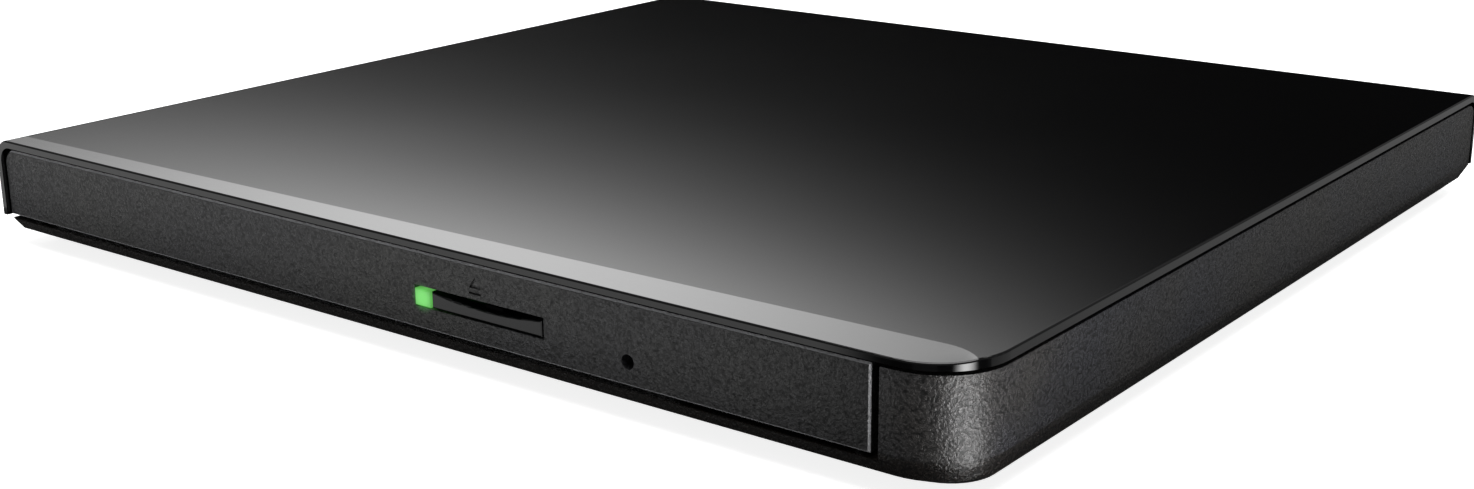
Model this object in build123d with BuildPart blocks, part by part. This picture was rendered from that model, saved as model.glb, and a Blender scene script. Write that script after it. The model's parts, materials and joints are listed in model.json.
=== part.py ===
"""Slim external optical disc drive: a plastic shell round a 9.5 mm tray-loading mechanism.

Frame: +Z up, -Y is the front with the tray, +X to the right seen from the front.
The origin is at the centre of the footprint, on the surface that the rubber feet stand on.
"""

import os
from math import cos, pi, radians, sin, sqrt

from build123d import *

# ---------------------------------------------------------------- driving sizes, in mm
width = 144.0
depth = 137.5
height = 14.0

# shell
foot_height = 0.9
floor_thick = 1.2
cover_thick = 1.0
side_wall = 0.75
case_wall = 1.4
corner_big = 7.5
corner_small = 3.0
edge_round = 2.7
rim_round = 0.2
band_drop = 0.26
band_drop_left = 0.08
band_left = 2.7
band_right = 5.4
cover_foot_z = 3.9
lip_top = 3.5
low_bevel_z = 2.45
side_bevel_z = 3.75
cover_case_gap = 0.45
post_width = 9.0

# tray front
bezel_recess = 0.4
bezel_thick = 1.8
bezel_bottom = 4.0
bezel_top_gap = 0.4
bezel_side_gap = 0.3
bezel_post_gap = 1.0
button_width = 15.8
button_height = 1.85
button_z = 7.5
button_hollow = 0.6
button_travel = 0.6
button_gap = 0.12
slot_over_button = 0.4
slot_beside_button = 0.35
led_width = 2.3
pinhole_radius = 0.8

# mechanism
drive_width = 128.0
drive_length = 126.0
drive_height = 9.5
drive_bottom = 2.8
sheet = 0.4
disc_radius = 60.0
disc_clearance = 0.8
small_disc_radius = 40.8
tray_travel = 125.0
hub_radius = 7.45
lens_inner = 24.0
lens_travel = 33.0
rod_radius = 1.0
screw_pitch = 3.0

slide_gap = 0.1
fit_gap = 0.02

# ---------------------------------------------------------------- worked-out places
left, right = -width / 2, width / 2
front, rear = -depth / 2, depth / 2
base_z = foot_height
floor_top = base_z + floor_thick
plate_z = height - cover_thick
case_top = plate_z - cover_case_gap

bezel_left = left + side_wall + bezel_side_gap
post_left = right - post_width
bezel_right = post_left - bezel_post_gap
bezel_top = plate_z - bezel_top_gap
bezel_front = front + bezel_recess
bezel_back = bezel_front + bezel_thick
drive_x = (bezel_left + bezel_right) / 2

drive_top = drive_bottom + drive_height
lid_z = drive_top - sheet
pan_top = drive_bottom + sheet
pan_front = bezel_back + 0.35
pan_rear = pan_front + drive_length
pan_half = drive_width / 2
pan_left, pan_right = drive_x - pan_half, drive_x + pan_half

# sliding fits at each side of the mechanism, as distances from its middle
pan_inner = pan_half - sheet
guide_outer = pan_inner
guide_web = 0.75
rail_outer = guide_outer - guide_web - slide_gap
rail_web = 0.6
rib_outer = rail_outer - rail_web - slide_gap
tray_half = rib_outer - 1.65
rail_inner = tray_half + 0.5
rail_mid_z = 6.4
rib_height = 1.2
rail_flange = 0.5
rail_height = rib_height + 2 * (slide_gap + rail_flange)
guide_flange = 0.6
guide_height = rail_height + 2 * (slide_gap + guide_flange)
rail_back = 4.0
rail_length = drive_length - 8.0

# tray levels
tray_low = 4.0
tray_floor_low = 7.25
tray_wall = 1.2
tray_flange_z = rail_mid_z + guide_height / 2 + 0.15
tray_top = 10.5
disc_seat = 9.3
recess_floor = disc_seat - 0.6
small_recess_floor = recess_floor - 0.6
recess_radius = disc_radius + disc_clearance
tray_front = bezel_back
front_wall = 1.3
hub_x = drive_x
hub_y = tray_front + front_wall + recess_radius
tray_rear = hub_y + recess_radius + 1.6
flange_half = pan_inner - 0.6

# sled, in the tray's diagonal deck frame: x runs out from the hub, y across
deck = Plane(origin=(hub_x, hub_y, 0), x_dir=(-1, -1, 0), z_dir=(0, 0, 1))
frame_low = 4.6
frame_thick = 0.6
rod_z = 5.9
rod_across = 15.0
rod_start = 9.4
rod_end = lens_inner + lens_travel + 7.5
screw_across = 20.6
screw_radius = 1.25
sled_low, sled_top = 4.5, 7.2
deck_plate_z = 7.95
deck_plate_thick = 0.3
turret_top = 8.6
rotor_radius = 12.0
turntable_radius = 14.5
turntable_top = disc_seat - 0.2
hub_top = disc_seat + 2.1
claw_reach = 0.45
claw_travel = 0.55
claw_width = 2.6

usb_x = right - 6.8
board_z = 4.0
board_thick = 1.0


def block(x, y, z, mode=Mode.ADD):
    """A box between the two values of x, of y and of z, in the part being built."""
    with Locations(((x[0] + x[1]) / 2, (y[0] + y[1]) / 2, (z[0] + z[1]) / 2)):
        Box(x[1] - x[0], y[1] - y[0], z[1] - z[0], mode=mode)


def post(x, y, z, radius, mode=Mode.ADD):
    """An upright cylinder between the two values of z, in the part being built."""
    with Locations((x, y, (z[0] + z[1]) / 2)):
        Cylinder(radius, z[1] - z[0], mode=mode)


def deck_point(along, across):
    """The X and Y of a point given in the deck frame."""
    place = deck.from_local_coords(Vector(along, across, 0))
    return place.X, place.Y


def from_hub(x, y):
    """The X and Y of a point given from the tray's hub."""
    return hub_x + x, hub_y + y


def shell_outline(x, y, radii):
    """A rectangle with its own radius at each corner: front left, front right, rear right, rear left."""
    corners = [(x[0], y[0]), (x[1], y[0]), (x[1], y[1]), (x[0], y[1])]
    starts = [(0, 1), (-1, 0), (0, -1), (1, 0)]
    ends = [(1, 0), (0, 1), (-1, 0), (0, -1)]
    arcs = []
    for (cx, cy), (sx, sy), (ex, ey), r in zip(corners, starts, ends, radii):
        begin, finish = (cx + sx * r, cy + sy * r), (cx + ex * r, cy + ey * r)
        mid = (cx + (sx + ex) * r * (1 - sqrt(0.5)), cy + (sy + ey) * r * (1 - sqrt(0.5)))
        arcs.append((begin, mid, finish, r))
    with BuildLine() as outline:
        for here, after in zip(arcs, arcs[1:] + arcs[:1]):
            if here[3] > 0:
                ThreePointArc(*here[:3])
            Line(here[2], after[0])
    make_face(outline.line)


# ================================================================ shell
# Screws that join the shell halves, and those that hold the mechanism down
floor_rim = 2.6
rear_screw_y = (pan_rear + rear - 0.8 - floor_rim) / 2
case_screw_places = [
    (right - 6.0, front + 17.0),
    (right - 6.0, 6.0),
    (left + 12.0, rear_screw_y),
    (drive_x, rear_screw_y),
]
pan_screw_places = [
    (drive_x + sx * (pan_half - 9.0), y)
    for sx in (-1, 1)
    for y in (pan_front + 26.0, pan_rear - 22.0)
]
screw_shank = 1.0
screw_head = 1.9
screw_head_thick = 0.8
boss_radius = 2.3
foot_radius = 4.0
foot_sink = 0.5
foot_places = [(sx * (width / 2 - 12.0), sy * (depth / 2 - 14.0)) for sx in (-1, 1) for sy in (-1, 1)]
usb_low = board_z + board_thick
usb_width, usb_height, usb_depth = 7.7, 4.0, 9.0

# Wedge that lowers the top's front edge into a shallow band, wider to the right
big_centre = (right - corner_big, front + corner_big)
band_end_angle = radians(-30)
band_end = (
    big_centre[0] + corner_big * cos(band_end_angle),
    big_centre[1] + corner_big * sin(band_end_angle),
)
band_flare = (
    big_centre[0] + (corner_big + 1.6) * cos(band_end_angle),
    big_centre[1] + (corner_big + 1.6) * sin(band_end_angle),
)
band_turn = (right - 5.2, front + band_right)
overhang = 3.0
band_tilt = (band_drop - band_drop_left) / width
band_plane = Plane(
    origin=(0, 0, height - (band_drop + band_drop_left) / 2),
    x_dir=(1, 0, -band_tilt),
    z_dir=(band_tilt, 0, 1),
)
with BuildPart() as band_cutter:
    with BuildSketch(band_plane):
        with Locations((0, front + 6 - overhang / 2)):
            Rectangle(width + 2 * overhang, 12 + overhang)
    extrude(amount=1)
    with BuildSketch(band_plane) as band_foot:
        with BuildLine():
            edge = Line((left - overhang, front), (big_centre[0], front))
            arc = TangentArc(edge @ 1, band_flare, tangent=(1, 0))
            out = Line(arc @ 1, (right + overhang, band_flare[1]))
            back = Polyline(out @ 1, (right + overhang, front + 20), (left - overhang, front + 20), edge @ 0)
        make_face()
    with BuildSketch(Plane.XY.offset(height)) as band_head:
        with BuildLine():
            edge = Line((left - overhang, front + band_left), band_turn)
            arc = TangentArc(edge @ 1, band_end, tangent=edge % 1)
            out = Line(arc @ 1, (right + overhang, band_end[1]))
            back = Polyline(out @ 1, (right + overhang, front + 20), (left - overhang, front + 20), edge @ 0)
        make_face()
    loft(ruled=True, mode=Mode.SUBTRACT)
    block(
        (left - 2 * overhang, right + 2 * overhang),
        (front - overhang, front + 20),
        (height, height + 2),
        mode=Mode.SUBTRACT,
    )

def wall_edges(solid):
    """The top edges over the left wall, the rear wall and the corner between them."""
    edges = solid.faces().sort_by(Axis.Z)[-1].edges()
    turn = edges.filter_by(GeomType.CIRCLE).sort_by(Axis.Y)[-1:]
    return edges.filter_by(Axis.Y).sort_by(Axis.X)[:1] + turn + edges.filter_by(Axis.X).sort_by(Axis.Y)[-1:]


def on_rim(edge):
    """Whether an edge runs along the outline of the plate's front, its big corner or its right side."""
    at = edge @ 0.5
    reach = sqrt((at.X - big_centre[0]) ** 2 + (at.Y - big_centre[1]) ** 2)
    return at.Y < front + 0.01 or at.X > right - 0.01 or abs(reach - corner_big) < 0.01


with BuildPart() as cover_hollow:
    with BuildSketch(Plane.XY.offset(cover_foot_z - 1)):
        shell_outline(
            (left + side_wall, right + overhang),
            (front - overhang, rear - side_wall),
            (0, 0, 0, corner_small - side_wall),
        )
    extrude(amount=plate_z - cover_foot_z + 1)
    fillet(wall_edges(cover_hollow), radius=edge_round - side_wall)

with BuildPart() as top_cover:
    with BuildSketch(Plane.XY.offset(cover_foot_z)):
        shell_outline((left, right), (front, rear), (0, corner_big, 0, corner_small))
    extrude(amount=height - cover_foot_z)
    fillet(wall_edges(top_cover), radius=edge_round)
    add(band_cutter.part, mode=Mode.SUBTRACT)
    rim = top_cover.edges().filter_by(lambda e: e.bounding_box().min.Z > height - band_drop - 0.01)
    fillet(rim.filter_by(on_rim), radius=rim_round)
    add(cover_hollow.part, mode=Mode.SUBTRACT)
    for x, y in case_screw_places:
        post(x, y, (floor_top + 0.9, plate_z), boss_radius)
        post(x, y, (floor_top + 0.9, plate_z - 0.8), screw_shank + fit_gap, mode=Mode.SUBTRACT)
    with BuildSketch(Plane.XZ.offset(-rear - 1)):
        with Locations((usb_x, usb_low + usb_height / 2)):
            RectangleRounded(usb_width + 0.6, usb_height + 0.6, 0.8)
    extrude(amount=side_wall + 2, mode=Mode.SUBTRACT)
    for x in (drive_x - 40, drive_x, drive_x + 40):
        block((x - 0.5, x + 0.5), (pan_rear + 0.6, rear - side_wall), (plate_z - 1.5, plate_z))

# Lower shell: a bevelled pan with a full wall on the right and at the front right corner
case_left, case_right = left + 0.8, right - 0.1
case_front, case_rear = front + 0.3, rear - 0.8
bevel_run = low_bevel_z - base_z
case_sections = [
    (base_z, 1.5, 2.1, 3.9, 3.1, (3.4, 5.0, 2.2, 2.2)),
    (low_bevel_z, 0.7, 0.35, 0.3, 1.55, (2.2, 6.9, 1.6, 2.2)),
    (side_bevel_z, 0.1, 0.0, 0.0, 0.1, (0.4, corner_big - 0.2, 0.3, 2.2)),
]


def case_section(z, inset_left, inset_right, inset_front, inset_rear, radii):
    """One outline of the lower shell, drawn in from its widest line."""
    with BuildSketch(Plane.XY.offset(z)) as section:
        shell_outline(
            (case_left + inset_left, case_right - inset_right),
            (case_front + inset_front, case_rear - inset_rear),
            radii,
        )
    return section.sketch


sections = [case_section(*values) for values in case_sections]
with BuildPart() as bottom_case:
    loft(sections=sections[:2], ruled=True)
    loft(sections=sections[1:], ruled=True)
    with BuildSketch(Plane.XY.offset(side_bevel_z)):
        shell_outline((case_left, case_right), (case_front, case_rear), case_sections[2][5])
    extrude(amount=case_top - side_bevel_z)
    # the inside, then the openings for the tray and the cover's two walls
    with BuildSketch(Plane.XY.offset(floor_top)):
        shell_outline(
            (case_left + floor_rim, case_right - case_wall),
            (case_front + case_wall + 0.6, case_rear - floor_rim),
            (1.5, corner_big - 0.2 - case_wall, 1.0, 1.5),
        )
    extrude(amount=height, mode=Mode.SUBTRACT)
    block((left - 1, post_left), (front - 1, front + 10), (lip_top, height), mode=Mode.SUBTRACT)
    open_above = (side_bevel_z, height)
    block((left - 1, left + 10), (front - 1, rear + 1), open_above, mode=Mode.SUBTRACT)
    block((left - 1, case_right - case_wall), (rear - 5, rear + 1), open_above, mode=Mode.SUBTRACT)
    # the right wall's rear end is rounded off under the cover's rounded edge
    end_round = edge_round - side_wall + cover_case_gap
    with BuildSketch(Plane.YZ.offset(case_right - 2 * case_wall)):
        with Locations((case_rear - end_round, case_top - end_round)):
            Rectangle(end_round + 1, end_round + 1, align=(Align.MIN, Align.MIN))
            Circle(end_round, mode=Mode.SUBTRACT)
    extrude(amount=3 * case_wall, mode=Mode.SUBTRACT)
    # return of the corner post, and the tongues that locate the cover
    block((post_left, post_left + case_wall), (case_front + case_wall, case_front + 4.0), (floor_top, case_top))
    tongue = (side_wall + 0.15, side_wall + 1.15)
    tongue_z = (side_bevel_z, side_bevel_z + 2.3)
    block((left + tongue[0], left + tongue[1]), (front + 5, rear - 4), tongue_z)
    block((left + 6, usb_x - 7), (rear - tongue[1], rear - tongue[0]), tongue_z)
    # supports under the mechanism and round the screws
    for x, y in case_screw_places:
        post(x, y, (floor_top, floor_top + 0.9), boss_radius)
    for x, y in pan_screw_places:
        post(x, y, (floor_top, drive_bottom), boss_radius)
    for x, y in case_screw_places + pan_screw_places:
        post(x, y, (base_z, drive_bottom + 1), screw_shank + 0.1, mode=Mode.SUBTRACT)
        post(x, y, (base_z, base_z + screw_head_thick), screw_head + 0.2, mode=Mode.SUBTRACT)
    for x, y in foot_places:
        post(x, y, (base_z, base_z + foot_sink), foot_radius + 0.15, mode=Mode.SUBTRACT)
    block((-34, 34), (-22, 22), (base_z, base_z + 0.15), mode=Mode.SUBTRACT)

with BuildPart() as rubber_feet:
    for x, y in foot_places:
        post(x, y, (0, base_z + foot_sink), foot_radius)
    chamfer(rubber_feet.faces().filter_by(Axis.Z).group_by(Axis.Z)[0].edges(), length=0.3)

with BuildPart() as rating_label:
    block((-33.8, 33.8), (-21.8, 21.8), (base_z + 0.05, base_z + 0.15))


def screws(places, head_thick, shank, head):
    """Cross-head screws, each given by its X, its Y, the Z under its head and the Z of its tip."""
    with BuildPart() as made:
        for x, y, under_head, tip in places:
            up = 1 if tip > under_head else -1
            head_end = under_head - up * head_thick
            post(x, y, sorted((under_head, tip)), shank)
            post(x, y, sorted((under_head, head_end)), head)
            for size in ((0.3, 1.2), (1.2, 0.3)):
                with Locations((x, y, head_end + up * head_thick * 0.25)):
                    Box(size[0] * head, size[1] * head, head_thick * 0.5 + 0.001, mode=Mode.SUBTRACT)
    return made


under_screw = base_z + screw_head_thick
case_screws = screws(
    [(x, y, under_screw, plate_z - 2.0) for x, y in case_screw_places],
    0.7,
    screw_shank,
    screw_head,
)
drive_screws = screws(
    [(x, y, under_screw, pan_top - 0.05) for x, y in pan_screw_places],
    0.7,
    screw_shank,
    screw_head,
)

# ================================================================ mechanism housing
sata_x = (drive_x + 41.0, drive_x + 59.0)
latch_post_place = (41.0, tray_front + 12.5)
lid_screw_places = [
    (drive_x + sx * (pan_inner - 1.7), y)
    for sx in (-1, 1)
    for y in (pan_front + 10.0, (pan_front + pan_rear) / 2, pan_rear - 10.0)
]
with BuildPart() as chassis_pan:
    block((pan_left, pan_right), (pan_front, pan_rear), (drive_bottom, lid_z))
    block(
        (pan_left + sheet, pan_right - sheet),
        (pan_front - 1, pan_rear - sheet),
        (pan_top, lid_z + 1),
        mode=Mode.SUBTRACT,
    )
    for side in (-1, 1):
        edge_x = drive_x + side * pan_inner
        block(sorted((edge_x, edge_x - side * 3.4)), (pan_front + 4, pan_rear - 4), (lid_z - sheet, lid_z))
    block(sata_x, (pan_rear - 1, pan_rear + 1), (board_z + 0.6, board_z + 4.6), mode=Mode.SUBTRACT)
    for x, y in pan_screw_places:
        post(x, y, (drive_bottom, pan_top), screw_shank + fit_gap, mode=Mode.SUBTRACT)
    for x, y in lid_screw_places:
        post(x, y, (lid_z - sheet, lid_z), 0.8 + fit_gap, mode=Mode.SUBTRACT)
    # weight-saving window under the tray
    with BuildSketch(Plane.XY.offset(drive_bottom)):
        with Locations((drive_x - 24, 0)):
            RectangleRounded(46, 70, 6)
    extrude(amount=sheet, mode=Mode.SUBTRACT)

with BuildPart() as chassis_lid:
    block((pan_left, pan_right), (pan_front, pan_rear), (lid_z, drive_top))
    for x, y in lid_screw_places:
        post(x, y, (lid_z, drive_top), 0.8 + fit_gap, mode=Mode.SUBTRACT)
    # round stiffening step over the disc
    with BuildSketch(Plane.XY.offset(drive_top - 0.15)):
        with Locations((hub_x, hub_y)):
            Circle(46)
            Circle(20, mode=Mode.SUBTRACT)
    extrude(amount=0.15, mode=Mode.SUBTRACT)

lid_screws = screws([(x, y, drive_top, lid_z - sheet - 0.3) for x, y in lid_screw_places], 0.4, 0.8, 1.5)

with BuildPart() as foam_pads:
    for x in (drive_x - 45, drive_x + 45):
        block((x - 6, x + 6), (-40, 40), (drive_top, plate_z))
    block((drive_x - 25, drive_x + 25), (pan_rear - 14, pan_rear - 7), (drive_top, plate_z))

with BuildPart() as latch_post:
    post(*latch_post_place, (pan_top, pan_top + 2.3), 1.1)


def guide(side):
    """The fixed plastic channel at one side of the housing; side is -1 for the left."""
    with BuildPart() as made:
        span = (pan_front + 2, pan_rear - 3)
        outer, web = drive_x + side * guide_outer, drive_x + side * (guide_outer - guide_web)
        mouth = drive_x + side * (rail_inner + 0.6)
        low, high = rail_mid_z - guide_height / 2, rail_mid_z + guide_height / 2
        block(sorted((outer, web)), span, (low, high))
        block(sorted((outer, mouth)), span, (low, low + guide_flange))
        block(sorted((outer, mouth)), span, (high - guide_flange, high))
    return made


def rail(side):
    """The loose steel rail that telescopes between the channel and the tray."""
    with BuildPart() as made:
        span = (pan_front + rail_back, pan_front + rail_back + rail_length)
        outer, web = drive_x + side * rail_outer, drive_x + side * (rail_outer - rail_web)
        mouth = drive_x + side * rail_inner
        low, high = rail_mid_z - rail_height / 2, rail_mid_z + rail_height / 2
        block(sorted((outer, web)), span, (low, high))
        block(sorted((outer, mouth)), span, (low, low + rail_flange))
        block(sorted((outer, mouth)), span, (high - rail_flange, high))
    return made


guide_left, guide_right = guide(-1), guide(1)
rail_left, rail_right = rail(-1), rail(1)

# ================================================================ tray
damper_places = [(-8.0, -23.4), (48.0, -23.4), (40.0, 29.2)]
damper_hole = 1.5
button_x = hub_x + 18.875
notch_x, notch_y = drive_x + 36.5, hub_y + 51.2
latch_lane = (latch_post_place[0] - 2.2, latch_post_place[0] + 2.2)
base_plate_right = latch_lane[0] - 0.6
tray_screw_places = [
    (drive_x - tray_half + 4.5, tray_front + 5.0),
    (drive_x - tray_half + 4.5, tray_rear - 5.0),
    (notch_x - 7.0, tray_rear - 5.0),
    (button_x + 13.1, tray_front + 5.0),
]
board_screw_places = [from_hub(37.975, -26.05), from_hub(38.475, 40.45), from_hub(-20.525, 54.45)]
led_x = button_x - button_width / 2 - led_width / 2 - button_gap
pin_x, pin_z = hub_x + 38.175, 6.5
plunger_x = drive_x - tray_half + 12.0
plunger_z = 6.0
front_board_y = bezel_back + 3.9
main_board_z = 6.2
board_sheet = 0.8

with BuildPart() as tray:
    block((drive_x - flange_half, drive_x + flange_half), (tray_front, tray_rear), (tray_flange_z, tray_top))
    block((drive_x - tray_half, drive_x + tray_half), (tray_front, tray_rear), (tray_low, tray_flange_z))
    inner = tray_half - tray_wall
    block(
        (drive_x - inner, drive_x + inner),
        (tray_front + front_wall, tray_rear - tray_wall),
        (tray_low, tray_floor_low),
        mode=Mode.SUBTRACT,
    )
    for side in (-1, 1):
        ends = sorted((drive_x + side * (tray_half - 0.1), drive_x + side * rib_outer))
        rib = (rail_mid_z - rib_height / 2, rail_mid_z + rib_height / 2)
        block(ends, (tray_front + 4.5, tray_rear - 1.5), rib)
    # rear right corner left free for the connector board
    block((notch_x, drive_x + 70), (notch_y, tray_rear + 1), (tray_low - 1, tray_top + 1), mode=Mode.SUBTRACT)
    block((notch_x - tray_wall, drive_x + inner), (notch_y - tray_wall, notch_y), (tray_low, tray_floor_low))
    block((notch_x - tray_wall, notch_x), (notch_y - tray_wall, tray_rear), (tray_low, tray_floor_low))
    # seats for the two disc sizes
    post(hub_x, hub_y, (recess_floor, tray_top + 1), recess_radius, mode=Mode.SUBTRACT)
    post(hub_x, hub_y, (small_recess_floor, tray_top), small_disc_radius, mode=Mode.SUBTRACT)
    # seat of the deck plate, then the openings under it
    with BuildSketch(deck.offset(deck_plate_z)):
        with BuildLine():
            Polyline((-20.2, -20.2), (64, -20.2), (64, 20.2), (-20.2, 20.2), close=True)
        make_face()
        Circle(60.2, mode=Mode.INTERSECT)
    extrude(amount=tray_top, mode=Mode.SUBTRACT)
    with BuildSketch(deck.offset(tray_floor_low - 0.1)):
        Circle(turntable_radius + 0.6)
        with Locations(((lens_inner + rod_end) / 2 - 4, 0)):
            Rectangle(rod_end - lens_inner + 10, 18)
    extrude(amount=recess_floor - tray_floor_low + 0.1, mode=Mode.SUBTRACT)
    # bosses: dampers, base plate and main board
    for along, across in damper_places:
        x, y = deck_point(along, across)
        post(x, y, (tray_low + 0.2, tray_floor_low), damper_hole)
    for x, y in tray_screw_places:
        post(x, y, (tray_low, tray_floor_low), 2.0)
        post(x, y, (tray_low, tray_low + 2.5), 0.7 + fit_gap, mode=Mode.SUBTRACT)
    for x, y in board_screw_places:
        post(x, y, (main_board_z + board_sheet, tray_floor_low), 1.8)
        post(x, y, (main_board_z, tray_floor_low + 0.9), 0.7 + fit_gap, mode=Mode.SUBTRACT)
    # front wall: pin, button, light; rear wall: lane of the latch post and the ejector
    post_lane = (tray_low - 1, pan_top + 2.7)
    block(latch_lane, (tray_rear - tray_wall - 0.1, tray_rear + 1), post_lane, mode=Mode.SUBTRACT)
    block(latch_lane, (notch_y - tray_wall - 0.1, notch_y + 0.1), post_lane, mode=Mode.SUBTRACT)
    with Locations(Plane(origin=(pin_x, tray_front, pin_z), z_dir=(0, -1, 0))):
        Hole(radius=pinhole_radius + 0.2, depth=front_wall + 0.1)
    block(
        (led_x - led_width / 2 - 0.3, button_x + button_width / 2 + slot_beside_button),
        (tray_front - 1, front_board_y - 1.0),
        (button_z - 1.6, button_z + 1.2),
        mode=Mode.SUBTRACT,
    )
    with Locations(Plane(origin=(plunger_x, tray_rear, plunger_z), z_dir=(0, 1, 0))):
        Hole(radius=1.1, depth=tray_wall + 0.2)
    well = (tray_low + 0.4, tray_floor_low)
    block((plunger_x - 2.6, plunger_x - 1.4), (tray_rear - 24, tray_rear - tray_wall), well)
    block((plunger_x + 1.4, plunger_x + 2.6), (tray_rear - 24, tray_rear - tray_wall), well)
    block((plunger_x - 2.6, plunger_x + 2.6), (tray_rear - 25, tray_rear - 24), well)
    # finger scoops beside the disc seat
    for side in (-1, 1):
        scoop = (recess_floor + 0.5, tray_top + 1)
        post(drive_x + side * 47, tray_front + 16, scoop, 9.0, mode=Mode.SUBTRACT)

with BuildPart() as tray_base_plate:
    block(
        (drive_x - tray_half + 0.3, base_plate_right),
        (tray_front + 0.4, tray_rear - 0.4),
        (tray_low - 0.3, tray_low),
    )
    block((notch_x - 0.6, right), (notch_y - 0.6, rear), (tray_low - 1, tray_low), mode=Mode.SUBTRACT)
    for x, y in tray_screw_places:
        post(x, y, (tray_low - 0.3, tray_low), 0.7 + fit_gap, mode=Mode.SUBTRACT)
    with BuildSketch(deck.offset(tray_low - 0.3)):
        with Locations((38, 0)):
            RectangleRounded(34, 20, 4)
    extrude(amount=0.3, mode=Mode.SUBTRACT)

tray_screws = screws(
    [(x, y, tray_low - 0.3, tray_low + 2.4) for x, y in tray_screw_places]
    + [(x, y, main_board_z, tray_floor_low + 0.8) for x, y in board_screw_places],
    head_thick=0.25,
    shank=0.7,
    head=1.4,
)

# front panel of the tray
with BuildPart() as tray_bezel:
    with BuildSketch(Plane.XZ.offset(-bezel_front)) as bezel_face:
        with Locations(((bezel_left + bezel_right) / 2, (bezel_bottom + bezel_top) / 2)):
            Rectangle(bezel_right - bezel_left, bezel_top - bezel_bottom)
        left_corners = bezel_face.vertices().group_by(Axis.X)[0].sort_by(Axis.Y)
        fillet(left_corners[1], radius=edge_round - side_wall - bezel_side_gap + 0.2)
        fillet(left_corners[0], radius=0.8)
    extrude(amount=-bezel_thick)
    chamfer(tray_bezel.faces().sort_by(Axis.Y)[0].edges(), length=0.22)
    block(
        (led_x - led_width / 2, button_x + button_width / 2 + slot_beside_button),
        (front, bezel_back + 1),
        (button_z - button_height / 2 - button_gap, button_z + button_height / 2 + slot_over_button),
        mode=Mode.SUBTRACT,
    )
    with Locations(Plane(origin=(pin_x, bezel_front, pin_z), z_dir=(0, -1, 0))):
        Hole(radius=pinhole_radius, depth=bezel_thick)
    # sunk eject mark: a small triangle over a bar
    with BuildSketch(Plane.XZ.offset(-bezel_front)):
        with Locations((button_x - 1.3, button_z + 2.95)):
            Triangle(a=1.7, b=1.5, c=1.5)
        with Locations((button_x - 1.3, button_z + 2.0)):
            Rectangle(1.7, 0.25)
    extrude(amount=-0.3, mode=Mode.SUBTRACT)
    # tabs that grip the tray's front rim
    for x in (drive_x - 48, drive_x + 46):
        block((x - 4, x + 4), (bezel_back - 0.1, bezel_back + 3.0), (tray_top, tray_top + 0.7))

with BuildPart() as led_lens:
    block(
        (led_x - led_width / 2 + fit_gap, led_x + led_width / 2 - fit_gap),
        (bezel_front - 0.05, bezel_back + 1.6),
        (button_z - button_height / 2, button_z + button_height / 2),
    )
    fillet(led_lens.faces().sort_by(Axis.Y)[0].edges(), radius=0.15)

# eject button: a bar with a hollowed upper edge, on a stem that meets the switch
button_back = bezel_back - 0.3
switch_depth = 1.3
with BuildPart() as eject_button:
    with BuildSketch(Plane.XZ.offset(-(bezel_front + 0.1))):
        with BuildLine():
            hollow = ThreePointArc(
                (button_x - button_width / 2, button_z + button_height / 2),
                (button_x, button_z + button_height / 2 - button_hollow),
                (button_x + button_width / 2, button_z + button_height / 2),
            )
            Polyline(
                hollow @ 1,
                (button_x + button_width / 2, button_z - button_height / 2),
                (button_x - button_width / 2, button_z - button_height / 2),
                hollow @ 0,
            )
        make_face()
    extrude(amount=bezel_front + 0.1 - button_back)
    fillet(eject_button.faces().sort_by(Axis.Y)[0].edges(), radius=0.2)
    stem_end = front_board_y - switch_depth - button_travel - 0.15
    block((button_x - 1.2, button_x + 1.2), (button_back - 0.1, stem_end), (button_z - 0.8, button_z + 0.5))

# board behind the front panel with the eject switch and the light
with BuildPart() as front_board:
    block((led_x - 5, button_x + 9), (front_board_y, front_board_y + 0.8), (tray_low + 0.2, tray_floor_low))
with BuildPart() as eject_switch:
    block(
        (button_x - 2.2, button_x + 2.2),
        (front_board_y - switch_depth, front_board_y),
        (button_z - 2.4, tray_floor_low - 0.05),
    )
with BuildPart() as status_led:
    block((led_x - 0.8, led_x + 0.8), (front_board_y - 1.2, front_board_y), (tray_low + 1.3, tray_low + 3.1))

# ================================================================ latch, emergency release, ejector
hook_pivot = (latch_post_place[0] - 2.6, latch_post_place[1] - 8.0)
hook_open = 9.0
solenoid_x = hook_pivot[0] - 6.4
hook_z = (tray_low + 0.4, tray_low + 1.4)
hook_plane = Plane(origin=(*hook_pivot, hook_z[0])).rotated((0, 0, hook_open))
with BuildPart() as latch_pivot:
    post(*hook_pivot, (tray_low + 0.05, tray_floor_low), 0.8)
with BuildPart() as latch_hook:
    with BuildSketch(hook_plane):
        Circle(2.0)
        with BuildLine():
            Polyline(
                (-1.6, 0),
                (-1.0, 11.6),
                (1.2, 11.6),
                (2.5, 10.6),
                (2.5, 9.5),
                (0.9, 9.5),
                (1.0, 0),
                close=True,
            )
        make_face()
        Circle(0.8 + 0.03, mode=Mode.SUBTRACT)
    extrude(amount=hook_z[1] - hook_z[0])
with BuildPart() as latch_solenoid:
    block(
        (solenoid_x - 10.0, solenoid_x),
        (tray_front + 8.0, tray_front + 20.0),
        (tray_low + 0.3, tray_floor_low),
    )
with BuildPart() as solenoid_core:
    core_z = (hook_z[0] + hook_z[1]) / 2
    with Locations(Plane(origin=(solenoid_x, hook_pivot[1] + 6.0, core_z), z_dir=(1, 0, 0))):
        Cylinder(0.6, hook_pivot[0] - 2.6 - solenoid_x, align=(Align.CENTER, Align.CENTER, Align.MIN))
with BuildPart() as emergency_slider:
    low = pin_z - 0.8
    block((pin_x - 1.4, pin_x + 1.4), (tray_front + front_wall + 1.2, tray_front + 4.6), (low, low + 1.4))
    block((pin_x - 1.4, pin_x + 2.2), (tray_front + 3.4, tray_front + 4.6), (low, low + 1.1))

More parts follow.
